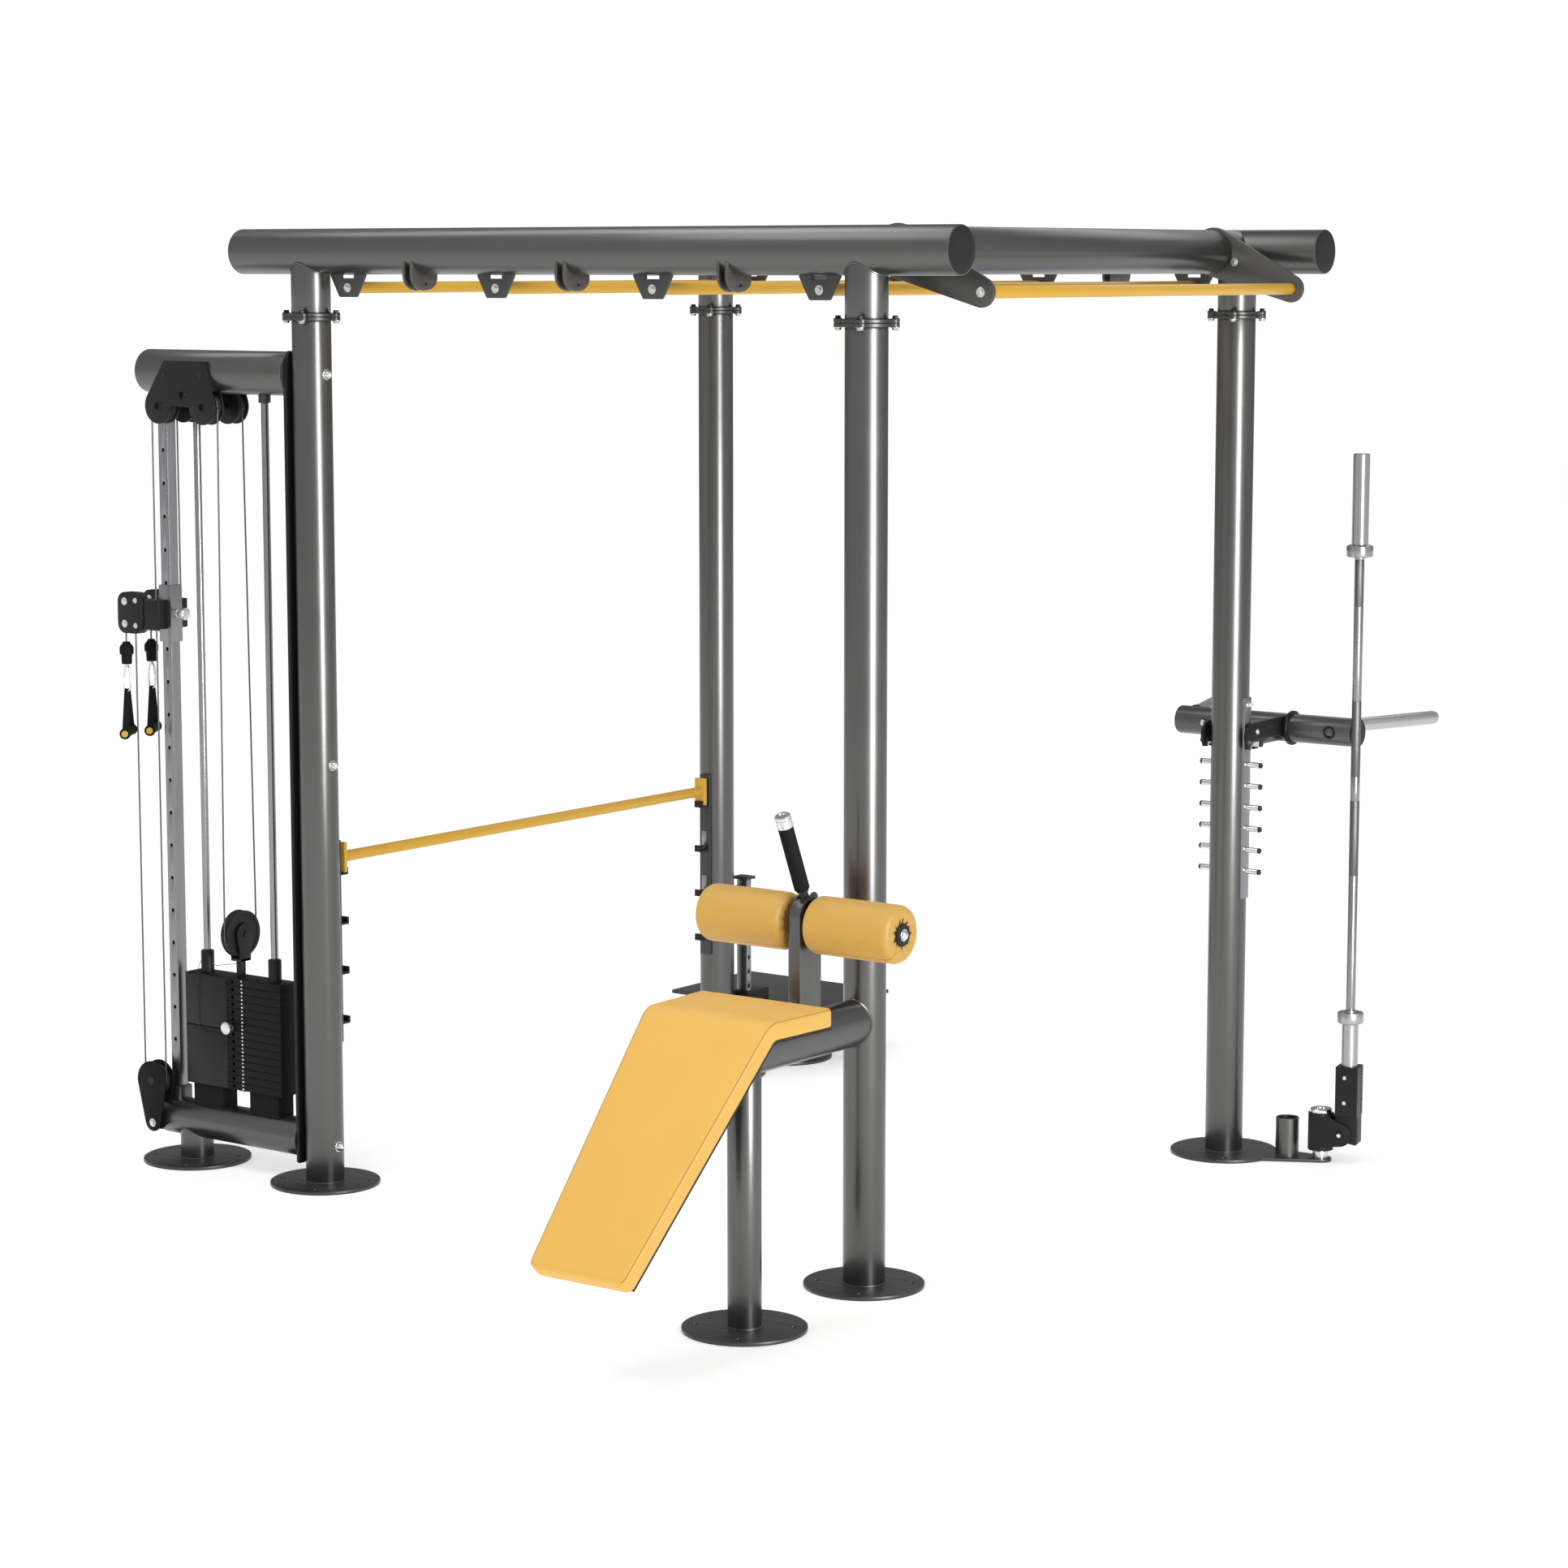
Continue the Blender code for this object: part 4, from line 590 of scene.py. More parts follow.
def crossbar():
    """The low bar that hangs on the left posts, with its two end plates."""
    piece = Piece("low_crossbar")
    x, near, far = -SPAN_X, HOOK_Y, SPAN_Y - HOOK_Y
    piece.add(bar((x, near, BAR_Z), (x, far, BAR_Z), RUNG_R, 40), "yellow")
    for y, side in ((near, 1), (far, -1)):
        low_y, high_y = sorted((y - side * 0.0095, y + side * 0.0035))
        piece.add(block((x - 0.021, low_y, BAR_Z - 0.0447), (x + 0.021, high_y, BAR_Z + 0.045), 0.002), "yellow")
        piece.add(sweep([(x + 0.0165 * math.cos(a * math.tau / 40), y + side * 0.0035,
                          BAR_Z + 0.0165 * math.sin(a * math.tau / 40))
                         for a in range(40)], 0.0018, 8, closed=True), "yellow")
    piece.done("crossbar", "yellow_metal", "crossbar")


posts()
overhead()
crossbar()


# ---- weight station -----------------------------------------------------------------------
STACK_X, ROD_OFFSET, ROD_R = -SPAN_X - 0.332, 0.140, 0.011
COLUMN_X, COLUMN_W = -SPAN_X - 0.598, 0.038
STATION_BEAM_Z, STATION_BEAM_R, STATION_END = 2.405, 0.0645, -SPAN_X - 0.664
FLOOR_TUBE_Z, STATION_FOOT_X = 0.129, -SPAN_X - 0.532
PLATE_W, PLATE_D, PLATE_T, PLATE_COUNT, LIFTED_COUNT, STACK_Z = 0.394, 0.080, 0.0228, 15, 7, 0.248
SPLIT_Z = STACK_Z + (PLATE_COUNT - LIFTED_COUNT) * PLATE_T
STACK_TOP = STACK_Z + PLATE_COUNT * PLATE_T
PIN_Z = SPLIT_Z + PLATE_T / 2
CABLE_R, CABLE_Y, WHEEL_OUTER, GROOVE = 0.0025, 0.052, 0.0475, 0.008
CABLE_CLEAR = CABLE_R + 0.0022
CABLE_RIDE = WHEEL_OUTER - GROOVE + CABLE_CLEAR
TOP_WHEEL_Z, OUTER_WHEEL_X, INNER_WHEEL_X = 2.303, -SPAN_X - 0.562, -SPAN_X - 0.3785
LOW_WHEEL_X, LOW_WHEEL_Z = -SPAN_X - 0.6515, 0.241
LIFT_WHEEL_Z, LIFT_WHEEL_R = 0.722, 0.071
CARRIAGE_Z, CARRIAGE_H, CARRIAGE_W = 1.677, 0.172, 0.0485
BLOCK_X, HANDLE_X = -SPAN_X - 0.705, -SPAN_X - 0.737
GRIP_TURN = math.radians(-54)
STATION_FACE = -SPAN_X - POST_R - 0.0123
AXLE_R, WHEEL_BORE, WHEEL_T = 0.0074, 0.0078, 0.027
CHEEK_IN, CHEEK_OUT = 0.0145, 0.0205            # the two faces of a wheel housing's cheek
CHEEKS = ((CHEEK_IN, CHEEK_OUT), (-CHEEK_OUT, -CHEEK_IN))


def station_frame():
    """The station's side plate, top beam and floor tube."""
    face = -SPAN_X - POST_R
    outline = [(-0.050, 0.064), (-0.046, 0.060), (0.046, 0.060), (0.050, 0.064), (0.050, 2.420), (0.036, 2.468),
               (0.030, 2.472), (-0.030, 2.472), (-0.036, 2.468), (-0.050, 2.420)]
    piece = Piece("side_plate")
    piece.add(plate([outline], "X", face - 0.012, face - 0.0003, 0.0015), "black")
    for z in (0.118, 1.262, 2.405):
        for y in (-0.036, 0.036):
            dome_bolt(piece, (face - 0.0125, y, z), (-1, 0, 0), 0.006, 0.006, "plastic")
    piece.done("rig", "black_metal", "station_side_plate")
    top = Piece("station_top")
    top.add(bar((STATION_END, 0, STATION_BEAM_Z), (STATION_FACE, 0, STATION_BEAM_Z), STATION_BEAM_R, 80), "frame")
    end_cap(top, (STATION_END, 0, STATION_BEAM_Z), (-1, 0, 0), STATION_BEAM_R)
    top.add(bar((COLUMN_X, 0, STATION_BEAM_Z), (COLUMN_X, 0, 2.330), 0.0315, 48), "frame")
    for s in (-1, 1):
        x = STACK_X + s * ROD_OFFSET
        top.add(lathe((x, 0, 2.318), Z_AXIS, [(0, ROD_R + 0.0004), (0, 0.0165), (0.0015, 0.018), (0.060, 0.018),
                                             (0.060, ROD_R + 0.0004), (0, ROD_R + 0.0004)], 40), "edge")
    top.done("rig", "frame", "station_top_beam")
    base = Piece("station_floor_tube")
    base.add(bar((-SPAN_X - 0.640, 0, FLOOR_TUBE_Z), (STATION_FACE, 0, FLOOR_TUBE_Z), POST_R, 72), "frame")
    end_cap(base, (-SPAN_X - 0.640, 0, FLOOR_TUBE_Z), (-1, 0, 0), POST_R)
    base.add(bar((STATION_FOOT_X, 0, DISC_T - 0.002), (STATION_FOOT_X, 0, FLOOR_TUBE_Z), 0.0505, 64), "frame")
    weld_ring(base, STATION_FOOT_X, 0, DISC_T, 0.0505)
    half = COLUMN_W / 2 + 0.006
    base.add(block((COLUMN_X - half, -half, 0.150), (COLUMN_X + half, half, 0.225), 0.003), "frame")
    foot(base, STATION_FOOT_X, 0)
    base.done("rig", "frame", "station_base")


def column():
    """The carriage's holed column, and the guide rods on their buffers."""
    half = COLUMN_W / 2
    piece = Piece("column")
    outline = [(COLUMN_X - half, 0.2253), (COLUMN_X + half, 0.2253), (COLUMN_X + half, 2.3297),
               (COLUMN_X - half, 2.3297)]
    holes = [circle((COLUMN_X, 0.369 + i * 0.1), 0.0052, 16) for i in range(19)]
    piece.add(plate([outline, *holes], "Y", -half, half, 0.003), "satin")
    piece.done("rig", "chrome", "station_column")
    for label, s in (("outer", -1), ("inner", 1)):
        x, middle = STACK_X + s * ROD_OFFSET, STACK_X + s * 0.117
        piece = Piece(f"guide_{label}")
        piece.add(bar((x, 0, STACK_Z - 0.01), (x, 0, 2.3597), ROD_R, 40), "rod")
        piece.add(block((middle - 0.060, -0.033, 0.152), (middle + 0.060, 0.033, STACK_Z - 0.0003), 0.003), "rubber")
        piece.done("rig", "chrome", f"guide_rod_{label}")


def weight_plates(piece, first, count):
    """Rounded plates with a pin hole each, a smooth cover on their left half and a printed scale."""
    half, deep = PLATE_W / 2, PLATE_D / 2
    for i in range(count):
        z = first + i * PLATE_T
        outline = [(STACK_X - half, z + 0.0002), (STACK_X + half, z + 0.0002), (STACK_X + half, z + PLATE_T - 0.0002),
                   (STACK_X - half, z + PLATE_T - 0.0002)]
        hole = circle((STACK_X, z + PLATE_T / 2), 0.0056, 20)
        piece.add(plate([outline, hole], "Y", -deep, deep, 0.0020), "iron")
        for row, width in ((0.25, 0.0062), (0.75, 0.0040)):
            at = z + PLATE_T * row
            piece.add(block((STACK_X + 0.036, -deep - 0.0004, at - 0.0023),
                            (STACK_X + 0.036 + width, -deep + 0.0004, at + 0.0023),
                            0.0002, 1), "white")
    piece.add(block((STACK_X - half + 0.0015, -deep - 0.0012, first + 0.002),
                    (STACK_X - 0.024, -deep + 0.002, first + count * PLATE_T - 0.002), 0.0009), "black")


def stack():
    """Both groups of plates, the selector pin and its lanyard."""
    deep = PLATE_D / 2
    low = Piece("plates_resting")
    weight_plates(low, STACK_Z, PLATE_COUNT - LIFTED_COUNT)
    low.done("rig", "iron", "weight_plates_lower")
    piece = Piece("plates_lifted")
    weight_plates(piece, SPLIT_Z, LIFTED_COUNT)
    neck_top = LIFT_WHEEL_Z - LIFT_WHEEL_R - 0.012
    piece.add(bar((STACK_X, 0, STACK_TOP - 0.01), (STACK_X, 0, neck_top), 0.014, 32), "plastic")
    piece.add(bar((STACK_X, 0, STACK_Z - 0.012), (STACK_X, 0, SPLIT_Z + 0.03), 0.0125, 24), "zinc")
    for s in (-1, 1):
        x = STACK_X + s * ROD_OFFSET
        piece.add(lathe((x, 0, STACK_TOP - 0.002), Z_AXIS,
                        [(0, ROD_R + 0.0006), (0, 0.0200), (0.066, 0.0200), (0.069, 0.0185), (0.069, ROD_R + 0.0006),
                         (0, ROD_R + 0.0006)], 40), "plastic")
    left = STACK_X - ROD_OFFSET
    piece.add(sweep([(left + 0.019, -0.004, 0.618), (left + 0.045, -0.005, 0.614), (left + 0.085, -0.004, 0.622),
                     (STACK_X - 0.013, 0.0, 0.628)], 0.0011, 8), "chrome")
    piece.done("stack", "iron", "weight_plates_lifted")
    pin = Piece("stack_pin")
    pin.add(bar((STACK_X, -deep - 0.020, PIN_Z), (STACK_X, 0.012, PIN_Z), 0.0050, 24), "chrome")
    pin.add(lathe((STACK_X, -deep - 0.036, PIN_Z), (0, 1, 0),
                  [(0, 0), (0, 0.006), (0.0012, 0.0075), (0.0012, 0.0125), (0, 0.014), (0.0012, 0.0175),
                   (0.003, 0.019),
                   (0.018, 0.019), (0.0198, 0.0165), (0.0205, 0.0130), (0.0310, 0.0130), (0.0347, 0.0115),
                   (0.0347, 0)], 40), "chrome")
    for a in range(18):
        turn = Matrix.Translation((STACK_X, 0, PIN_Z)) @ Matrix.Rotation(math.tau * a / 18, 4, "Y")
        rib = bar((0.0190, -deep - 0.0320, 0), (0.0190, -deep - 0.0190, 0), 0.0009, 8, 0.0003)
        pin.add(rib, "chrome", turn)
    pin.done("selector_pin", "chrome", "selector_pin")
    cord = Piece("pin_lanyard")
    run = [(left + 0.002, -0.0205, 0.640), (left + 0.002, -deep - 0.004, 0.600), (left + 0.0, -deep - 0.0035, 0.50),
           (left + 0.004, -deep - 0.004, 0.430), (left + 0.030, -deep - 0.0045, 0.418),
           (left + 0.075, -deep - 0.005, 0.416), (left + 0.110, -deep - 0.007, 0.424),
           (STACK_X - 0.0125, -deep - 0.009, PIN_Z - 0.004)]
    cord.add(sweep(smooth_run(run, 6), 0.0009, 6), "plastic")
    cord.done(None, "chrome", blend=("stack", "selector_pin", ORIGIN + Vector((left + 0.05, 0, PIN_Z)),
                                     ORIGIN + Vector((STACK_X - 0.013, 0, PIN_Z))))


def smooth_run(points, steps, closed=False):
    """A Catmull-Rom curve through the points."""
    points = [Vector(p) for p in points]
    if closed:
        padded = [points[-1], *points, points[0], points[1]]
    else:
        padded = [points[0] * 2 - points[1], *points, points[-1] * 2 - points[-2]]
    out = []
    for a, b, c, d in zip(padded, padded[1:], padded[2:], padded[3:]):
        for k in range(steps):
            t = k / steps
            out.append(0.5 * ((2 * b) + (c - a) * t + (2 * a - 5 * b + 4 * c - d) * t * t
                              + (3 * b - a - 3 * c + d) * t * t * t))
    return out if closed else [*out, points[-1]]


def grooved_wheel(name, cad, centre, axis, radius=WHEEL_OUTER, width=WHEEL_T):
    """A cable wheel with a dished web; its body has the CAD node's name."""
    half, bore = width / 2, WHEEL_BORE
    rim, hub = radius - 0.011, bore + 0.009
    dish = half - 0.0025
    profile = [(-half, bore), (-half, hub), (-dish, hub + 0.002), (-dish, rim - 0.002), (-half, rim),
               (-half, radius - 0.0008), (-half + 0.0008, radius), (-half * 0.75, radius), (-0.002, radius - GROOVE),
               (0.002, radius - GROOVE), (half * 0.75, radius), (half - 0.0008, radius), (half, radius - 0.0008),
               (half, rim), (dish, rim - 0.002), (dish, hub + 0.002), (half, hub), (half, bore), (-half, bore)]
    piece = Piece(name)
    piece.add(lathe(centre, axis, profile, 72), "plastic")
    piece.done(cad, "wheel", cad)


def lift_wheel():
    """The wheel that lifts the stack, in its fork."""
    z, r = LIFT_WHEEL_Z, LIFT_WHEEL_R
    piece = Piece("wheel_fork")
    outline = wrap(circle((0.0, z), 0.034) + [(-0.020, z - r - 0.012), (0.020, z - r - 0.012)])
    for a, b in ((-0.021, -0.0155), (0.0155, 0.021)):
        piece.add(plate([outline], "X", STACK_X + a, STACK_X + b, 0.0012), "black")
    foot_z = z - r - 0.012
    piece.add(block((STACK_X - 0.021, -0.022, foot_z + 0.0003), (STACK_X + 0.021, 0.022, foot_z + 0.009), 0.0015),
              "black")
    for s in (-1, 1):
        hex_bolt(piece, (STACK_X + s * 0.021, 0, z), (s, 0, 0), 0.0095, 0.005, "plastic")
    piece.add(bar((STACK_X - 0.021, 0, z), (STACK_X + 0.021, 0, z), AXLE_R, 24), "plastic")
    piece.done("stack", "black_metal", "stack_wheel_fork")
    grooved_wheel("lift_pulley", "stack_wheel", (STACK_X, 0, z), (1, 0, 0), r, 0.028)


def envelope(shapes, steps=120):
    """The outline of overlapping convex shapes, sampled from left to right."""
    def span(shape, x):
        hits = []
        for (ax, ay), (bx, by) in zip(shape, shape[1:] + shape[:1]):
            if min(ax, bx) <= x <= max(ax, bx) and abs(bx - ax) > 1e-9:
                hits.append(ay + (by - ay) * (x - ax) / (bx - ax))
        return hits
    left = min(x for shape in shapes for x, _ in shape) + 1e-5
    right = max(x for shape in shapes for x, _ in shape) - 1e-5
    upper, lower = [], []
    for i in range(steps + 1):
        share = 0.5 - 0.5 * math.cos(math.pi * i / steps)
        x = left + (right - left) * share
        hits = [z for shape in shapes for z in span(shape, x)]
        upper.append((x, max(hits)))
        lower.append((x, min(hits)))
    return lower + upper[::-1]


def top_housing():
    """Two pairs of M-shaped cheeks under the station's beam, with their axles, ties and screws."""
    left, right = (OUTER_WHEEL_X, TOP_WHEEL_Z), (INNER_WHEEL_X, TOP_WHEEL_Z)
    top, soft, lobe = 2.438, 0.008, 0.053
    outline = circle((left[0] + 0.025 + soft, top - soft), soft, 32)[8:13]
    outline += [polar(left, lobe, a) for a in range(148, 361, 4)]
    outline += [polar(right, lobe, a) for a in range(180, 377, 4)]
    outline += circle((right[0] + 0.017 - soft, top - soft), soft, 32)[2:9]
    middle = (left[0] + right[0]) / 2 + 0.010
    piece = Piece("pulley_housing")
    for y, outer in ((-CABLE_Y, -1), (CABLE_Y, 1)):
        for a, b in CHEEKS:
            piece.add(plate([outline], "Y", y + a, y + b, 0.0012), "black")
        flank = [(right[0] + 0.0165, top - 0.001), (right[0] + 0.0095, top - 0.001), (right[0] + 0.034, 2.350),
                 (right[0] + 0.0410, 2.350)]
        piece.add(plate([flank], "Y", y - 0.0150, y + 0.0150, 0.0005), "black")
        face = y + outer * CHEEK_OUT
        for x, z in (left, right, (middle, 2.338)):
            piece.add(bar((x, y - CHEEK_OUT, z), (x, y + CHEEK_OUT, z), AXLE_R, 24), "plastic")
            piece.add(lathe((x, face, z), (0, outer, 0),
                            [(0, 0.0105), (0, 0.0140), (0.0012, 0.0146), (0.0022, 0.0140),
                                                         (0.0022, 0.0105), (0, 0.0105)], 40), "black")
            # a thin near-black disc inside the bearing ring: painted shade in its bore
            piece.add(lathe((x, face - outer * 0.0012, z), (0, outer, 0), [(0, 0), (0, 0.0106), (0.0015, 0.0106),
                                                                          (0.0015, 0)], 32), "dark")
        for x in (left[0] + 0.031, right[0] - 0.004):
            dome_bolt(piece, (x, face, 2.400), (0, outer, 0), 0.0095, 0.0035, "plastic")
        piece.add(bar((middle, y - 0.018, 2.372), (middle, y + 0.018, 2.372), 0.010, 24), "plastic")
    piece.add(bar((right[0], -CABLE_Y, right[1]), (right[0], CABLE_Y, right[1]), AXLE_R, 24), "plastic")
    piece.done("rig", "black_metal", "top_housing")


def wheels():
    """The top wheels, and the floor wheel in its teardrop housing."""
    top_housing()
    for side, label in ((-1, "front"), (1, "rear")):
        y = side * CABLE_Y
        for place, x in (("outer", OUTER_WHEEL_X), ("inner", INNER_WHEEL_X)):
            grooved_wheel(f"pulley_{place}_{label}", f"top_wheel_{place}_{label}", (x, y, TOP_WHEEL_Z), (0, 1, 0))
    y = -CABLE_Y
    piece = Piece("teardrop")
    outline = wrap(circle((LOW_WHEEL_X, LOW_WHEEL_Z), 0.060, 72) + circle((LOW_WHEEL_X + 0.002, 0.115), 0.032, 40))
    for a, b in CHEEKS[::-1]:
        piece.add(plate([outline], "Y", y + a, y + b, 0.0012), "iron")
    piece.add(block((LOW_WHEEL_X - 0.026, y - 0.018, 0.092), (LOW_WHEEL_X + 0.026, y + 0.018, 0.142), 0.003), "black")
    face = y - CHEEK_OUT
    piece.add(bar((LOW_WHEEL_X, face, LOW_WHEEL_Z), (LOW_WHEEL_X, y + CHEEK_OUT, LOW_WHEEL_Z), AXLE_R, 24), "plastic")
    piece.add(lathe((LOW_WHEEL_X, face, LOW_WHEEL_Z), (0, -1, 0),
                    [(0, 0), (0, 0.013), (0.0010, 0.0135), (0.0022, 0.0125),
                                                                   (0.0022, 0)], 32), "plastic")
    hex_bolt(piece, (LOW_WHEEL_X + 0.002, face, 0.110), (0, -1, 0), 0.0085, 0.0045)
    piece.done("rig", "black_metal", "floor_wheel_housing")
    grooved_wheel("floor_pulley", "floor_wheel", (LOW_WHEEL_X, y, LOW_WHEEL_Z), (0, 1, 0))


def cables():
    """The five runs of the cable; those that end on the stack or the carriage are left unparented where they were
    built.
    """
    front, rear = -CABLE_Y, CABLE_Y
    low = (LOW_WHEEL_X, LOW_WHEEL_Z)
    outer, inner = (OUTER_WHEEL_X, TOP_WHEEL_Z), (INNER_WHEEL_X, TOP_WHEEL_Z)
    ride = CABLE_RIDE
    run = [(low[0] - ride, front, low[1] + 0.002)]
    run += arc(low, ride, 180, 360, 24, across=front)[1:]
    run += [(low[0] + ride, front, 0.4), (outer[0] - ride, front, 2.2)]
    run += arc(outer, ride, 180, 90, 14, across=front)
    run += arc(inner, ride, 90, 0, 14, across=front)
    piece = Piece("cable_fixed_front")
    piece.add(sweep(run, CABLE_R, 12), "cable")
    piece.done("rig", "cable", "cable_front")
    piece = Piece("cable_fixed_rear")
    piece.add(sweep(arc(inner, ride, 0, 90, 14, across=rear) + arc(outer, ride, 90, 180, 14, across=rear), CABLE_R,
                    12),
              "cable")
    piece.done("rig", "cable", "cable_rear")
    drop_x = inner[0] + ride
    lift = LIFT_WHEEL_R - GROOVE + CABLE_CLEAR
    loop = arc((0.0, LIFT_WHEEL_Z), lift, 180, 360, 30, plane="YZ", across=STACK_X)
    top = TOP_WHEEL_Z - 0.004
    down = [tuple(Vector((drop_x, front, top)).lerp(Vector(loop[0]), t / 24)) for t in range(24)]
    up = [tuple(Vector(loop[-1]).lerp(Vector((drop_x, rear, top)), (t + 1) / 24)) for t in range(24)]
    piece = Piece("cable_lifting")
    piece.add(sweep(down + loop + up, CABLE_R, 12), "cable")
    piece.done(None, "cable", "cable_stack", blend=("rig", "stack", ORIGIN + Vector((STACK_X, 0, TOP_WHEEL_Z)),
                                                    ORIGIN + Vector((STACK_X, 0, LIFT_WHEEL_Z + 0.01))))
    for label, x, y, fixed, moving in (("front", low[0] - ride, front, low[1] + 0.006, CARRIAGE_Z - 0.064),
                                       ("rear", outer[0] - ride, rear, top, CARRIAGE_Z + 0.064)):
        piece = Piece(f"cable_to_carriage_{label}")
        run = [(x, y, fixed + (moving - fixed) * t / 24) for t in range(25)]
        piece.add(sweep(run, CABLE_R, 12), "cable")
        piece.done(None, "cable", f"cable_carriage_{label}",
                   blend=("rig", "carriage", ORIGIN + Vector((x, y, fixed)), ORIGIN + Vector((x, y, moving))))


# ---- carriage and handles -----------------------------------------------------------------
def carriage():
    """The sleeve on the column with its two wheel blocks and its pull pin."""
    half, z0, z1 = CARRIAGE_W / 2, CARRIAGE_Z - CARRIAGE_H / 2, CARRIAGE_Z + CARRIAGE_H / 2
    inner = COLUMN_W / 2 + 0.0008
    piece = Piece("carriage_sleeve")
    ring = [[(COLUMN_X + sx * h, sy * h) for sx, sy in ((-1, -1), (1, -1), (1, 1), (-1, 1))] for h in (half, inner)]
    piece.add(plate(ring, "Z", z0, z1, 0.0014), "satin")
    for side in (-1, 1):
        y = side * CABLE_Y
        lobes = [circle((BLOCK_X + dx, CARRIAGE_Z + dz), 0.030, 48) for dx in (-0.020, 0.022) for dz in (0.032,
                                                                                                         -0.033)]
        head = wrap(sum(lobes, []))
        notch = envelope([wrap(lobes[0] + lobes[1]), wrap(lobes[2] + lobes[3]),
                          [(BLOCK_X - 0.02, CARRIAGE_Z - 0.046), (BLOCK_X + 0.02, CARRIAGE_Z - 0.046),
                           (BLOCK_X + 0.02, CARRIAGE_Z + 0.046), (BLOCK_X - 0.02, CARRIAGE_Z + 0.046)]])
        for a, b in ((-0.0165, -0.0115), (0.0115, 0.0165)):
            piece.add(plate([head], "Y", y + a, y + b, 0.0014), "black")
        piece.add(plate([notch], "Y", y - 0.0118, y + 0.0118, 0.0014), "plastic")
        inner_y = sorted((side * (half - 0.004), y + side * 0.010))
        piece.add(block((BLOCK_X + 0.010, inner_y[0], CARRIAGE_Z - 0.046),
                        (COLUMN_X + 0.010, inner_y[1], CARRIAGE_Z + 0.042),
                        0.003), "black")
        for dz in (0.034, -0.034):
            for face in (-1, 1):
                hex_bolt(piece, (BLOCK_X - 0.020, y + face * 0.0165, CARRIAGE_Z + dz), (0, face, 0), 0.0078, 0.0042)
                hex_bolt(piece, (BLOCK_X + 0.026, y + face * 0.0165, CARRIAGE_Z + dz * 1.12), (0, face, 0), 0.0055,
                         0.0035)
    piece.add(lathe((COLUMN_X + half - 0.002, 0, CARRIAGE_Z), (1, 0, 0),
                    [(0, 0.0060), (0, 0.013), (0.012, 0.013), (0.0138, 0.0118), (0.0138, 0.0060), (0, 0.0060)], 32),
                    "zinc")
    piece.done("carriage", "black_metal", "carriage")
    x = COLUMN_X + half + 0.0123
    pin = Piece("carriage_pull_pin")
    pin.add(bar((COLUMN_X + COLUMN_W / 2 + 0.0009, 0, CARRIAGE_Z), (x + 0.005, 0, CARRIAGE_Z), 0.0050, 24), "chrome")
    pin.add(lathe((x, 0, CARRIAGE_Z), (1, 0, 0),
                  [(0, 0), (0, 0.012), (0.010, 0.012), (0.012, 0.016), (0.0135, 0.0185), (0.0265, 0.0185),
                   (0.0285, 0.0165),
                   (0.030, 0.013), (0.0292, 0.006), (0.0300, 0)], 40), "zinc")
    pin.done("carriage_pin", "chrome", "carriage_pin")


def handles():
    """Both strap handles, each with its stop ball, link, webbing and turning grip."""
    for side, label in ((-1, "front"), (1, "rear")):
        x, y = HANDLE_X, side * CABLE_Y
        piece = Piece(f"grip_{label}")
        piece.add(lathe((x, y, 1.5180), Z_AXIS,
                        [(0, 0), (0, 0.0135), (0.002, 0.0155), (0.028, 0.0165), (0.031, 0.0205), (0.035, 0.0213),
                         (0.050, 0.0213),
                         (0.056, 0.0185), (0.063, 0.0125), (0.068, 0.0105), (0.068, 0)], 40), "rubber")
        piece.add(sweep([(x, y, 1.580), (x, y, CARRIAGE_Z - 0.040)], CABLE_R, 12), "cable")
        piece.add(sweep([(x, y, 1.520), (x, y, 1.508)], 0.0042, 12), "zinc")
        link = [(x + a, y, z) for a, z in ((0.0, 1.513), (-0.006, 1.510), (-0.0105, 1.498), (-0.0135, 1.478),
                                           (-0.0135, 1.456),
                                           (-0.010, 1.441), (0.0, 1.434), (0.010, 1.441), (0.0135, 1.456),
                                           (0.0135, 1.478),
                                           (0.0105, 1.498), (0.006, 1.510))]
        piece.add(sweep(smooth_run(link, 5, closed=True), 0.0030, 12, closed=True), "chrome")
        turn = Matrix.Translation((x, y, 0)) @ Matrix.Rotation(GRIP_TURN, 4, "Z")
        for s in (-1, 1):
            web = [(0, 0, 1.442), (s * 0.006, 0, 1.430), (s * 0.026, 0, 1.385), (s * 0.046, 0, 1.340),
                   (s * 0.056, 0, 1.316)]
            piece.add(ribbon([Vector(p) for p in web], 0.0095, 0.0016), "rubber", turn)
            piece.add(lathe((s * 0.056, 0, 1.311), (s, 0, 0),
                            [(0, 0), (0, 0.0165), (0.003, 0.0172), (0.0075, 0.0165), (0.0085, 0.0150),
                                                              (0.0085, 0)], 32), "rubber", turn)
            piece.add(lathe((s * 0.0640, 0, 1.311), (s, 0, 0),
                            [(0, 0), (0, 0.0100), (0.0030, 0.0100), (0.0042, 0.0080),
                                                               (0.0045, 0)], 32), "yellow", turn)
        profile = [(-0.056, 0), (-0.056, 0.0140)]
        for k in range(9):
            at = -0.048 + k * 0.012
            profile += [(at - 0.0035, 0.0146), (at, 0.0139), (at + 0.0035, 0.0146)]
        profile += [(0.056, 0.0140), (0.056, 0)]
        piece.add(lathe((0, 0, 1.311), (1, 0, 0), profile, 32), "rubber", turn)
        piece.done(f"handle_{label}", "rubber", f"handle_{label}")


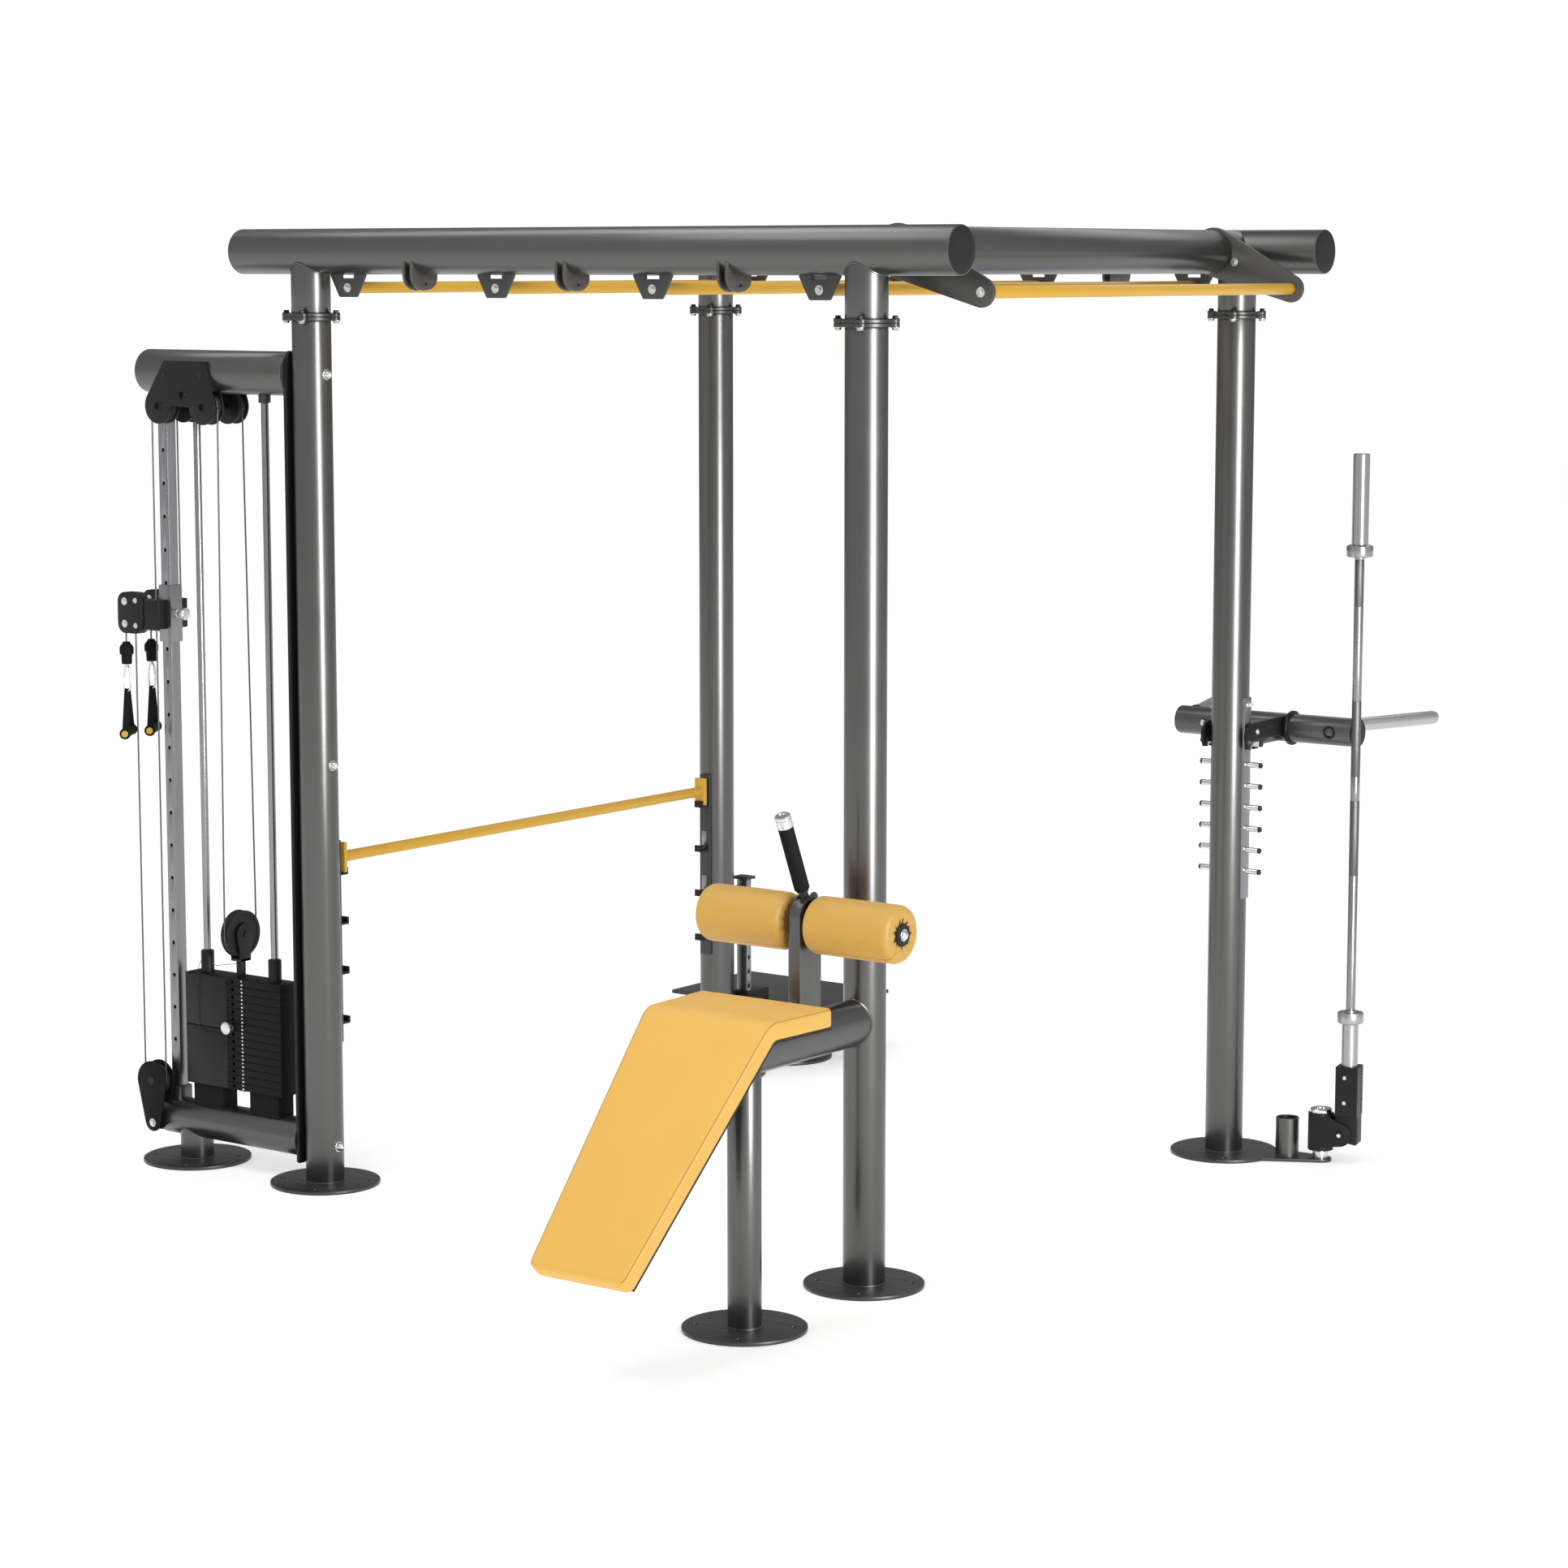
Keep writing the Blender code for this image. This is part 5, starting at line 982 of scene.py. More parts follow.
def ribbon(points, half_width, half_thick):
    """A flat strap in the XZ plane, with its width along Y."""
    shape = bmesh.new()
    rings = []
    for i, point in enumerate(points):
        ahead = (points[min(i + 1, len(points) - 1)] - points[max(i - 1, 0)]).normalized()
        out = Vector((ahead.z, 0, -ahead.x)) * half_thick
        wide = Vector((0, half_width, 0))
        soft = Vector((0, half_width - half_thick * 0.6, 0))
        rings.append([shape.verts.new(point + v) for v in (out + soft, wide, soft - out, -soft - out, -wide,
                                                           out - soft)])
    skin(shape, rings)
    shape.faces.new(rings[0])
    shape.faces.new(rings[-1])
    return shape


station_frame()
column()
stack()
lift_wheel()
wheels()
cables()
carriage()
handles()


# ---- bench --------------------------------------------------------------------------------
BENCH_TUBE_Z, BENCH_LEG_Y, BENCH_LEG_R = 0.7265, -0.536, 0.04445
ROLLER_POST_Y, ROLLER_Z, ROLLER_R, ROLLER_IN, ROLLER_OUT = -0.2725, 1.026, 0.0765, 0.036, 0.311
PAD_SLOPE = math.radians(46.2)
PAD_T, BOARD_T = 0.049, 0.008
PAD_TOP_Z, PAD_BACK_Y, PAD_KNEE_Y, PAD_END_Y = 0.852, -0.438, -0.690, -1.225
PAD_WIDE, PAD_KNEE_WIDE, PAD_END_WIDE = 0.212, 0.199, 0.143     # half widths
BENCH_TUBE_WIDE, BENCH_TUBE_TALL = 0.046, 0.063


def pad_path():
    """Points and outward normals along the pad's top, (y, z), with a rounded knee."""
    knee, start, radius = Vector((PAD_KNEE_Y, PAD_TOP_Z)), Vector((PAD_BACK_Y, PAD_TOP_Z)), 0.075
    down = Vector((-math.cos(PAD_SLOPE), -math.sin(PAD_SLOPE)))
    cut = radius * math.tan(PAD_SLOPE / 2)
    finish = knee + down * ((PAD_KNEE_Y - PAD_END_Y) / math.cos(PAD_SLOPE))
    path = []
    first, last = knee + Vector((cut, 0)), knee + down * cut
    for i in range(18):
        path.append((start.lerp(first, i / 18), Vector((0, 1))))
    centre = first - Vector((0, radius))
    for i in range(11):
        angle = math.pi / 2 + PAD_SLOPE * i / 10
        out = Vector((math.cos(angle), math.sin(angle)))
        path.append((centre + out * radius, out))
    for i in range(1, 41):
        path.append((last.lerp(finish, i / 40), Vector((-math.sin(PAD_SLOPE), math.cos(PAD_SLOPE)))))
    return path


def pad_half_width(y):
    """The pad narrows slowly along its seat, and more along its slope."""
    if y > PAD_KNEE_Y:
        return PAD_WIDE + (PAD_KNEE_WIDE - PAD_WIDE) * (PAD_BACK_Y - y) / 0.252
    return PAD_KNEE_WIDE + (PAD_END_WIDE - PAD_KNEE_WIDE) * (PAD_KNEE_Y - y) / 0.610


def bench_pad():
    """An upholstered slab: crowned top, rounded rims, corners drawn in, and a sewn edge line."""
    path = pad_path()
    lengths = [0.0]
    for (a, _), (b, _) in zip(path, path[1:]):
        lengths.append(lengths[-1] + (b - a).length)
    total = lengths[-1]
    stations = []
    extra = [0.0, 0.0008, 0.003, 0.006, 0.010, 0.014, 0.019]
    marks = sorted(set([round(s, 5) for s in lengths if 0.02 < s < total - 0.02] + extra + [total - e for e in extra]))
    for s in marks:
        k = max(i for i, v in enumerate(lengths) if v <= s + 1e-9)
        k = min(k, len(path) - 2)
        t = (s - lengths[k]) / (lengths[k + 1] - lengths[k])
        point = path[k][0].lerp(path[k + 1][0], t)
        normal = path[k][1].lerp(path[k + 1][1], t).normalized()
        stations.append((s, point, normal))
    shape = bmesh.new()
    rings = []
    top_r, low_r, corner = 0.012, 0.007, 0.019

    def inset(e, r):
        return 0.0 if e >= r else r - math.sqrt(max(0.0, r * r - (r - e) ** 2))

    seam_left, seam_right = [], []
    for s, point, normal in stations:
        e = min(s, total - s)
        wide = pad_half_width(point.x) - inset(e, corner)
        roof, base = -inset(e, top_r), -PAD_T + inset(e, low_r)
        crown = 0.0035 * min(1.0, e / 0.08)
        section = [polar((wide - top_r, roof - top_r), top_r, a) for a in (0, 22, 45, 68, 90)]
        flat_w = wide - top_r
        for k in range(1, 12):
            u = flat_w * (1 - k / 6)
            section.append((u, roof + crown * (1 - (u / flat_w) ** 2)))
        section += [polar((-wide + top_r, roof - top_r), top_r, a) for a in (90, 112, 135, 158, 180)]
        section += [polar((-wide + low_r, base + low_r), low_r, a) for a in (180, 225, 270)]
        section += [(-(wide - low_r) * (1 - k / 3), base) for k in range(1, 6)]
        section += [polar((wide - low_r, base + low_r), low_r, a) for a in (270, 315, 360)]
        ring = []
        for u, v in section:
            wave = 0.0007 * noise.noise(Vector((u * 26, s * 26, v * 40)))
            y, z = point + normal * (v + wave)
            ring.append(shape.verts.new((u, y, z)))
        rings.append(ring)
        if 0.006 <= s <= total - 0.006:
            edge = top_r * (1 - math.cos(math.radians(45)))
            seam_right.append(Vector((wide - edge + 0.0002, *(point + normal * (roof - edge + 0.0002)))))
            seam_left.append(Vector((-wide + edge - 0.0002, *(point + normal * (roof - edge + 0.0002)))))
    skin(shape, rings)
    for ring in (rings[0], rings[-1]):
        middle = shape.verts.new(sum((v.co for v in ring), Vector()) / len(ring))
        for k in range(len(ring)):
            shape.faces.new((middle, ring[k], ring[(k + 1) % len(ring)]))
    piece = Piece("bench_cushion")
    piece.add(shape, "pad")
    piece.add(sweep(seam_right + seam_left[::-1], 0.0010, 8, closed=True), "seam")
    item = piece.done("rig", "pad", "bench_pad", sharp=60)


def bench_frame():
    """The bench's leg, oval cross tube and roller post."""
    piece = Piece("bench_stand")
    piece.add(lathe((0, 0, 0), (0, -1, 0), [(0.034, 0), (0.034, 1.0), (0.6185, 1.0), (0.620, 0.975), (0.620, 0)], 96),
              "frame", Matrix.Translation((0, 0, BENCH_TUBE_Z)) @ Matrix.Diagonal((BENCH_TUBE_WIDE, 1,
                                                                                   BENCH_TUBE_TALL, 1)))
    piece.add(bar((0, BENCH_LEG_Y, DISC_T - 0.002), (0, BENCH_LEG_Y, BENCH_TUBE_Z), BENCH_LEG_R, 64), "frame")
    weld_ring(piece, 0, BENCH_LEG_Y, DISC_T, BENCH_LEG_R)
    foot(piece, 0, BENCH_LEG_Y)
    bead = []
    for i in range(72):
        angle = math.tau * i / 72
        dx, dz = BENCH_TUBE_WIDE * math.cos(angle), BENCH_TUBE_TALL * math.sin(angle)
        bead.append((dx, -math.sqrt(POST_R ** 2 - dx * dx), BENCH_TUBE_Z + dz))
    piece.add(sweep(bead, 0.0035, 8, closed=True), "frame")
    y, low_z, top_z = ROLLER_POST_Y, BENCH_TUBE_Z, 1.045
    outline = [(y - 0.0485, low_z), (y + 0.0485, low_z)]
    outline += [polar((y, top_z), 0.0485, a) for a in range(0, 181, 10)]
    piece.add(plate([outline], "X", -0.020, 0.020, 0.0055), "frame")
    for s in (-0.017, 0.017):
        ear = wrap([(y - 0.030, 1.05), (y + 0.034, 1.05)] + circle((y + 0.016, 1.092), 0.0155, 32)
                   + circle((y - 0.014, 1.080), 0.012, 32))
        piece.add(plate([ear], "X", s - 0.003, s + 0.003, 0.0010), "edge")
        hex_bolt(piece, (s + math.copysign(0.003, s), y + 0.012, 1.086), (s, 0, 0), 0.0055, 0.004, "plastic")
    for s in (-1, 1):
        piece.add(lathe((s * 0.0198, y, ROLLER_Z), (s, 0, 0),
                        [(0, 0.0128), (0, 0.0290), (0.0025, 0.0300), (0.0105, 0.0260),
                                                              (0.0112, 0.0128), (0, 0.0128)], 48), "plastic")
    piece.done("rig", "frame", "bench_frame")


def bench_board():
    """The thin board screwed under the pad, a little narrower and shorter than the pad."""
    path = pad_path()
    shape = bmesh.new()
    rings = []
    trims = {0: 0.004, len(path) - 1: -0.012}
    for k, (point, normal) in enumerate(path):
        if k in trims:
            along = (path[1][0] - path[0][0]) if k == 0 else (path[-1][0] - path[-2][0])
            point = point + along.normalized() * trims[k]
        wide = pad_half_width(point.x) - 0.004
        ring = []
        for u, v in ((-wide, 0.0), (wide, 0.0), (wide, -BOARD_T + 0.0012), (wide - 0.0012, -BOARD_T),
                     (-wide + 0.0012, -BOARD_T), (-wide, -BOARD_T + 0.0012)):
            y, z = point + normal * (v - PAD_T - 0.0003)
            ring.append(shape.verts.new((u, y, z)))
        rings.append(ring)
    skin(shape, rings)
    shape.faces.new(rings[0])
    shape.faces.new(rings[-1])
    piece = Piece("bench_back_board")
    piece.add(shape, "board")
    piece.done("rig", "black_metal", "bench_board")


def rollers():
    """Two foam rollers with pleated ends, on one axle."""
    y, z = ROLLER_POST_Y, ROLLER_Z
    axle = Piece("roller_shaft")
    axle.add(bar((-ROLLER_OUT - 0.003, y, z), (ROLLER_OUT + 0.003, y, z), 0.0124, 40), "chrome")
    for s in (-1, 1):
        axle.add(lathe((s * (ROLLER_OUT - 0.0045), y, z), (s, 0, 0), [(0, 0.0126), (0, 0.0290), (0.0020, 0.0305),
                                                                     (0.0050, 0.0285), (0.0058, 0.0126),
                                                                     (0, 0.0126)], 48), "plastic")
        dome_bolt(axle, (s * (ROLLER_OUT + 0.001), y, z), (s, 0, 0), 0.0125, 0.0100, "chrome")
    axle.done("rig", "chrome", "roller_axle")
    half = (ROLLER_OUT - ROLLER_IN) / 2
    end = [(0.0085, 0.0142), (0.0070, 0.0250), (0.0040, 0.0320), (0.0012, 0.0400), (0.0004, 0.0490), (0.0010, 0.0570),
           (0.0035, 0.0650), (0.0080, 0.0710), (0.0140, 0.0745), (0.0210, 0.0760)]
    for label, s in (("left", -1), ("right", 1)):
        mid = s * (ROLLER_IN + ROLLER_OUT) / 2
        profile = [(-half + a, r) for a, r in end]
        profile += [(-half + 0.021 + (2 * half - 0.042) * k / 20,
                     ROLLER_R - 0.0005 + 0.0005 * math.sin(math.pi * k / 20)) for k in range(1, 20)]
        profile += [(half - a, r) for a, r in end[::-1]] + [(-half + 0.0085, 0.0142)]
        shape = lathe((0, 0, 0), (1, 0, 0), profile, 144)
        for vertex in shape.verts:
            across = Vector((vertex.co.y, vertex.co.z))
            radius = across.length
            turn = math.atan2(across.y, across.x)
            reach = max(0.0, 1.0 - abs(radius - 0.036) / 0.026)
            pleat = reach * 0.0042 * (0.5 + 0.5 * math.cos(13 * turn + 0.6 * math.sin(3 * turn)))
            if abs(vertex.co.x) > half - 0.03:
                vertex.co.x -= math.copysign(pleat, vertex.co.x)
            if radius > 0.06:
                wave = 1 + 0.010 * noise.noise(Vector((vertex.co.x * 9, math.cos(turn) * 1.3,
                                                       math.sin(turn) * 1.3 + s)))
                vertex.co.y *= wave
                vertex.co.z *= wave
        piece = Piece(f"foam_{label}")
        move = Matrix.Translation((mid, y, z))
        # the darker roller finish is the pad's leather with painted shade on it
        piece.add(shape, "roller", move)
        seam = [(-half + a, -(r + 0.0002) * 0.62, -(r + 0.0002) * 0.785) for a, r in end[4:]]
        seam += [(-v[0], v[1], v[2]) for v in seam[::-1]]
        piece.add(sweep(seam, 0.0008, 6), "seam", move)
        # thin near-black lines along the end pleats: painted shade in the creases
        for k in range(13):
            angle = math.tau * k / 13 + 0.16 * math.sin(3 * k)
            inner, outer = 0.0300, 0.0400 + 0.0035 * math.sin(5 * k)
            crease = [(s * (half - 0.0030 - 0.0040 * (1 - t)), (inner + (outer - inner) * t) * math.cos(angle),
                       (inner + (outer - inner) * t) * math.sin(angle)) for t in (0, 0.35, 0.7, 1)]
            piece.add(sweep(crease, 0.0015, 6), "dark", move)
        item = piece.done(f"foam_roller_{label}", "pad", f"foam_roller_{label}", sharp=75)


def bench_grip():
    """The ribbed grip that leans back from the roller post."""
    lean = math.radians(23.4)
    low = Vector((0, ROLLER_POST_Y - 0.012, 1.1180))
    along = Vector((0, -math.sin(lean), math.cos(lean)))
    profile = [(0, 0), (0, 0.0190), (0.0015, 0.0203)]
    for k in range(60):
        at = 0.004 + k * 0.003
        profile += [(at, 0.0205), (at + 0.0015, 0.0199)]
    profile += [(0.1845, 0.0205), (0.186, 0.0190), (0.186, 0)]
    piece = Piece("lever_grip")
    piece.add(lathe(low, along, profile, 48), "grip")
    piece.add(lathe(low + along * 0.186, along, [(0, 0), (0, 0.0205), (0.001, 0.0213), (0.024, 0.0213),
                                                 (0.0255, 0.0200),
                                                 (0.0270, 0.0212), (0.032, 0.0210), (0.0345, 0.0188),
                                                 (0.0345, 0.0120),
                                                 (0.0325, 0.0105), (0.0325, 0)], 48), "chrome")
    piece.add(lathe(low - along * 0.036, along, [(0, 0), (0, 0.0125), (0.030, 0.0125), (0.030, 0.0165),
                                                 (0.036, 0.0175), (0.036, 0)],
                    40), "edge")
    piece.done("rig", "rubber", "bench_grip")


# ---- dip bar ------------------------------------------------------------------------------
DIP_Y, DIP_Z, DIP_R, DIP_LEFT, DIP_RIGHT, PEG_TOP_Z = SPAN_Y + 0.23, 1.305, 0.0435, -0.307, 0.312, 1.278


def hook_outline():
    """Side view of a hook plate: round at both ends, slotted over the peg, hollowed below."""
    hull = wrap(circle((SPAN_Y, 1.300), 0.040, 72) + circle((DIP_Y, DIP_Z), 0.040, 72) + [(SPAN_Y - 0.030, 1.262)])
    both = envelope([hull], 160)
    count = len(both) // 2
    lower, upper = both[:count], both[count:]
    edge = 0.0092
    made = []
    for (ax, az), (bx, bz) in zip(lower, lower[1:] + [lower[-1]]):
        if abs(ax - SPAN_Y) > edge:
            t = (ax - SPAN_Y - 0.034) / (DIP_Y - 0.012 - SPAN_Y - 0.034)
            hollow = 0.026 * math.sin(math.pi * t) ** 0.8 if 0 < t < 1 else 0.0
            made.append((ax, az + hollow))
        if ax < SPAN_Y - edge <= bx:
            made += [(SPAN_Y - edge, az)]
            made += [polar((SPAN_Y, PEG_TOP_Z), edge, 180 - a) for a in range(0, 181, 20)]
            made += [(SPAN_Y + edge, az)]
    return made + upper


def dip_bar():
    """A cross tube with two splayed handles, hung on the pegs by two hook plates."""
    piece = Piece("dip_station")
    piece.add(bar((DIP_LEFT, DIP_Y, DIP_Z), (DIP_RIGHT, DIP_Y, DIP_Z), DIP_R, 72, 0.004), "frame")
    piece.add(lathe((DIP_RIGHT - 0.002, DIP_Y, DIP_Z), (1, 0, 0),
                    [(0, DIP_R - 0.001), (0, DIP_R + 0.0012), (0.006, DIP_R + 0.0012), (0.0085, DIP_R - 0.001),
                     (0.0085, 0)],
                    64), "plastic")
    outline = hook_outline()
    for s in (-1, 1):
        piece.add(lathe((s * 0.084, DIP_Y, DIP_Z), (s, 0, 0),
                        [(0, DIP_R - 0.001), (0, 0.0515), (0.0015, 0.0530), (0.0095, 0.0530),
                                                              (0.0110, 0.0515), (0.0110, DIP_R - 0.001),
                                                              (0, DIP_R - 0.001)], 72), "black")
        a, b = sorted((s * 0.070, s * 0.080))
        piece.add(plate([outline], "X", a, b, 0.0014), "black")
        dome_bolt(piece, (s * 0.080, SPAN_Y + 0.026, 1.312), (s, 0, 0), 0.0072, 0.0065)
        start = Vector((s * 0.272, DIP_Y + 0.020, DIP_Z + 0.018))
        splay = math.radians(18)
        ahead = Vector((s * math.sin(splay), math.cos(splay), 0))
        piece.add(lathe(start, ahead, [(0, 0), (0, 0.0205), (0.360, 0.0205), (0.369, 0.0180), (0.375, 0.0110),
                                       (0.3765, 0)], 48), "handle")
        piece.add(lathe(start + ahead * 0.030, ahead,
                        [(0, 0.0200), (0, 0.0245), (0.006, 0.0240), (0.006, 0.0200), (0, 0.0200)], 48),
                  "black")
        if s < 0:
            continue
        bush = Vector((0.239, DIP_Y - DIP_R + 0.0025, DIP_Z))
        piece.add(lathe(bush, (0, -1, 0), [(0, 0.0140), (0, 0.0205), (0.0040, 0.0200), (0.0050, 0.0188),
                                           (0.0050, 0.0140),
                                          (0, 0.0140)], 40), "plastic")
        # a thin near-black disc inside the bush: painted shade in its hole
        piece.add(lathe(bush + Vector((0, 0.002, 0)), (0, -1, 0),
                        [(0, 0), (0, 0.0145), (0.0012, 0.0145), (0.0012, 0)], 32), "dark")
    piece.add(block((-0.0695, SPAN_Y + POST_R + 0.002, 1.268), (0.0695, DIP_Y, 1.332), 0.004), "frame")
    # a near-black stub round the domed bolt: painted shade in the bolt's hole
    piece.add(bar((-0.202, DIP_Y - DIP_R - 0.003, DIP_Z), (-0.202, DIP_Y, DIP_Z), 0.0125, 32), "dark")
    dome_bolt(piece, (-0.202, DIP_Y - DIP_R - 0.002, DIP_Z), (0, -1, 0), 0.0080, 0.0080)
    piece.done("dip_bar", "frame", "dip_bar")


# ---- step ---------------------------------------------------------------------------------
def step():
    """The step with its sleeve on the holed rail, and the locking knob."""
    x, top = RAIL_X, 0.220
    piece = Piece("step_deck")
    low_x, high_x, low_y, high_y = -SPAN_X - 0.345, -SPAN_X + 0.265, SPAN_Y + 0.190, SPAN_Y + 0.640
    corners = sum((circle((cx, cy), 0.006, 32) for cx in (low_x + 0.006, high_x - 0.006)
                   for cy in (low_y + 0.006, high_y - 0.006)), [])
    piece.add(plate([wrap(corners)], "Z", top - 0.012, top, 0.0018), "edge")
    for a, b in (((-SPAN_X - 0.30, SPAN_Y + 0.23), (-SPAN_X - 0.295, SPAN_Y + 0.60)),
                 ((-SPAN_X + 0.225, SPAN_Y + 0.23), (-SPAN_X + 0.23, SPAN_Y + 0.60)),
                 ((-SPAN_X - 0.30, SPAN_Y + 0.23), (-SPAN_X + 0.23, SPAN_Y + 0.235)),
                 ((-SPAN_X - 0.30, SPAN_Y + 0.595), (-SPAN_X + 0.23, SPAN_Y + 0.60))):
        piece.add(block((*a, top - 0.045), (*b, top - 0.006), 0.0012), "black")
    piece.add(block((x - 0.025, SPAN_Y + 0.16, top - 0.040), (x + 0.025, SPAN_Y + 0.60, top - 0.010), 0.003), "black")
    y0, y1, in_x, in_y = RAIL_Y - 0.026, RAIL_Y + 0.095, 0.0225, 0.0145
    ring = [[(x - 0.034, y0), (x + 0.034, y0), (x + 0.034, y1), (x - 0.034, y1)],
            [(x - in_x, RAIL_Y - in_y), (x + in_x, RAIL_Y - in_y), (x + in_x, RAIL_Y + in_y),
             (x - in_x, RAIL_Y + in_y)]]
    piece.add(plate(ring, "Z", top - 0.050, top + 0.055, 0.0018), "black")
    piece.done("step", "black_metal", "step_platform")
    at = Vector((x + 0.0343, RAIL_Y, top + 0.020))
    knob = Piece("step_pull_knob")
    knob.add(lathe(at, (1, 0, 0), [(0, 0), (0, 0.010), (0.012, 0.010), (0.0135, 0.0110), (0.0165, 0.0158),
                                   (0.0210, 0.0188),
                                   (0.0270, 0.0198), (0.0330, 0.0188), (0.0385, 0.0155), (0.0420, 0.0105),
                                   (0.0438, 0.0045),
                                   (0.0440, 0)], 48), "plastic")
    knob.add(bar(at + Vector((-0.0115, 0, 0)), at + Vector((0.004, 0, 0)), 0.0054, 24), "chrome")
    knob.done("step_pin", "rubber", "step_pin")


# ---- pivoting barbell ---------------------------------------------------------------------
TONGUE_ANGLE = math.radians(13.6)
TONGUE = Vector((math.cos(TONGUE_ANGLE), math.sin(TONGUE_ANGLE)))
SOCKET, SWIVEL, TILT, BAR = (Vector((0, SPAN_Y)) + reach * TONGUE for reach in (0.2015, 0.3066, 0.3735, 0.3920))
TILT_Z, BAR_TOP = 0.092, 2.162


def pivot_frame(x, y):
    """Moves a shape from the tongue's own direction to its place."""
    return Matrix.Translation((x, y, 0)) @ Matrix.Rotation(TONGUE_ANGLE, 4, "Z")


def landmine():
    """The floor tongue, the swivel and the tilting bar holder."""
    base = Piece("pivot_base")
    tongue = wrap(circle((SOCKET.x - 0.02, SOCKET.y), 0.052, 48) + circle(SWIVEL, 0.034, 48)
                  + circle((0.06, SPAN_Y), 0.085, 64))
    base.add(plate([tongue], "Z", 0.0, DISC_T - 0.0004, 0.0012), "edge")
    base.add(lathe((*SOCKET, DISC_T - 0.002), Z_AXIS,
                   [(0, 0.0290), (0, 0.0355), (0.118, 0.0355), (0.1195, 0.0345), (0.1200, 0.0322),
                                                      (0.1195, 0.0300), (0.118, 0.0290), (0, 0.0290)], 64), "frame")
    weld_ring(base, *SOCKET, DISC_T, 0.0355, 0.0025)
    base.add(bar((*SWIVEL, DISC_T - 0.002), (*SWIVEL, 0.152), 0.0190, 40), "zinc")
    base.add(bar((*SWIVEL, DISC_T - 0.002), (*SWIVEL, 0.0357), 0.0235, 48), "zinc")
    base.add(lathe((*SWIVEL, 0.1523), Z_AXIS, [(0, 0), (0, 0.0325), (0.0015, 0.0340), (0.0095, 0.0340),
                                               (0.0117, 0.0318),
                                              (0.0117, 0.0130), (0.0060, 0.0120), (0.0060, 0)], 56), "chrome")
    # a thin near-black hexagon in the cap's top recess: painted shade of the socket
    base.add(lathe((*SWIVEL, 0.1576), Z_AXIS, [(0, 0), (0, 0.0115), (0.0012, 0.0115), (0.0012, 0)], 6), "dark")
    base.done("rig", "frame", "landmine_base")

    place = pivot_frame(*SWIVEL)
    reach = (TILT - SWIVEL).length
    yoke = Piece("pivot_yoke")
    yoke.add(lathe((0, 0, 0.036), Z_AXIS, [(0, 0.0196), (0, 0.0375), (0.0015, 0.0390), (0.1145, 0.0390),
                                           (0.116, 0.0375),
                                          (0.116, 0.0196), (0, 0.0196)], 64), "black", place)
    cheek = wrap(circle((reach, TILT_Z), 0.036, 72) + [(-0.030, 0.044), (-0.030, 0.144), (0.030, 0.144)])
    for a, b in ((-0.0392, -0.0305), (0.0305, 0.0392)):
        yoke.add(plate([cheek], "Y", a, b, 0.0022), "black", place)
    for s in (-1, 1):
        yoke.add(lathe((reach, s * 0.0390, TILT_Z), (0, s, 0),
                       [(0, 0), (0, 0.0135), (0.0030, 0.0125), (0.0034, 0.0095), (0.0034, 0)],
                       40), "plastic", place)
        yoke.add(lathe((reach, s * 0.0420, TILT_Z), (0, s, 0),
                       [(0, 0), (0, 0.0072), (0.0025, 0.0068), (0.0030, 0.0040), (0.0018, 0.0030),
                                                               (0.0018, 0)], 6), "zinc", place)
    yoke.add(bar((reach, -0.039, TILT_Z), (reach, 0.039, TILT_Z), 0.0098, 32), "zinc", place)
    yoke.done("landmine_swivel", "black_metal", "landmine_swivel")

    place = pivot_frame(*TILT)
    bar_x = (BAR - TILT).length
    holder = Piece("bar_holder")
    heel = wrap(circle((0.0, TILT_Z), 0.0215, 48) + circle((bar_x + 0.028, 0.0680), 0.0060, 24)
                + [(bar_x + 0.034, 0.158), (-0.014, 0.158)])
    holder.add(plate([heel], "Y", -0.0298, 0.0298, 0.0022), "black", place)
    slit_y, slit_half, side, bore = 0.0125, 0.0016, 0.0343, 0.0256
    first = math.asin((slit_y - slit_half) / bore)
    last = math.asin((slit_y + slit_half) / bore)
    loop = [(bar_x + side, slit_y + slit_half), (bar_x + side, side), (bar_x - side, side), (bar_x - side, -side),
            (bar_x + side, -side), (bar_x + side, slit_y - slit_half)]
    steps = 48
    span = math.tau - (last - first)
    loop += [(bar_x + bore * math.cos(first - span * i / steps), bore * math.sin(first - span * i / steps))
             for i in range(steps + 1)]
    holder.add(plate([loop], "Z", 0.150, 0.303, 0.0008), "black", place)
    for z in (0.192, 0.270):
        for at, out in (((bar_x - 0.006, -side, z), (0, -1, 0)), ((bar_x + side, 0.0235, z), (1, 0, 0))):
            head = lathe(at, out, [(0, 0), (0, 0.0064), (0.0030, 0.0064), (0.0040, 0.0052), (0.0040, 0)], 6)
            holder.add(head, "zinc", place)
    holder.done("landmine_holder", "black_metal", "landmine_holder")


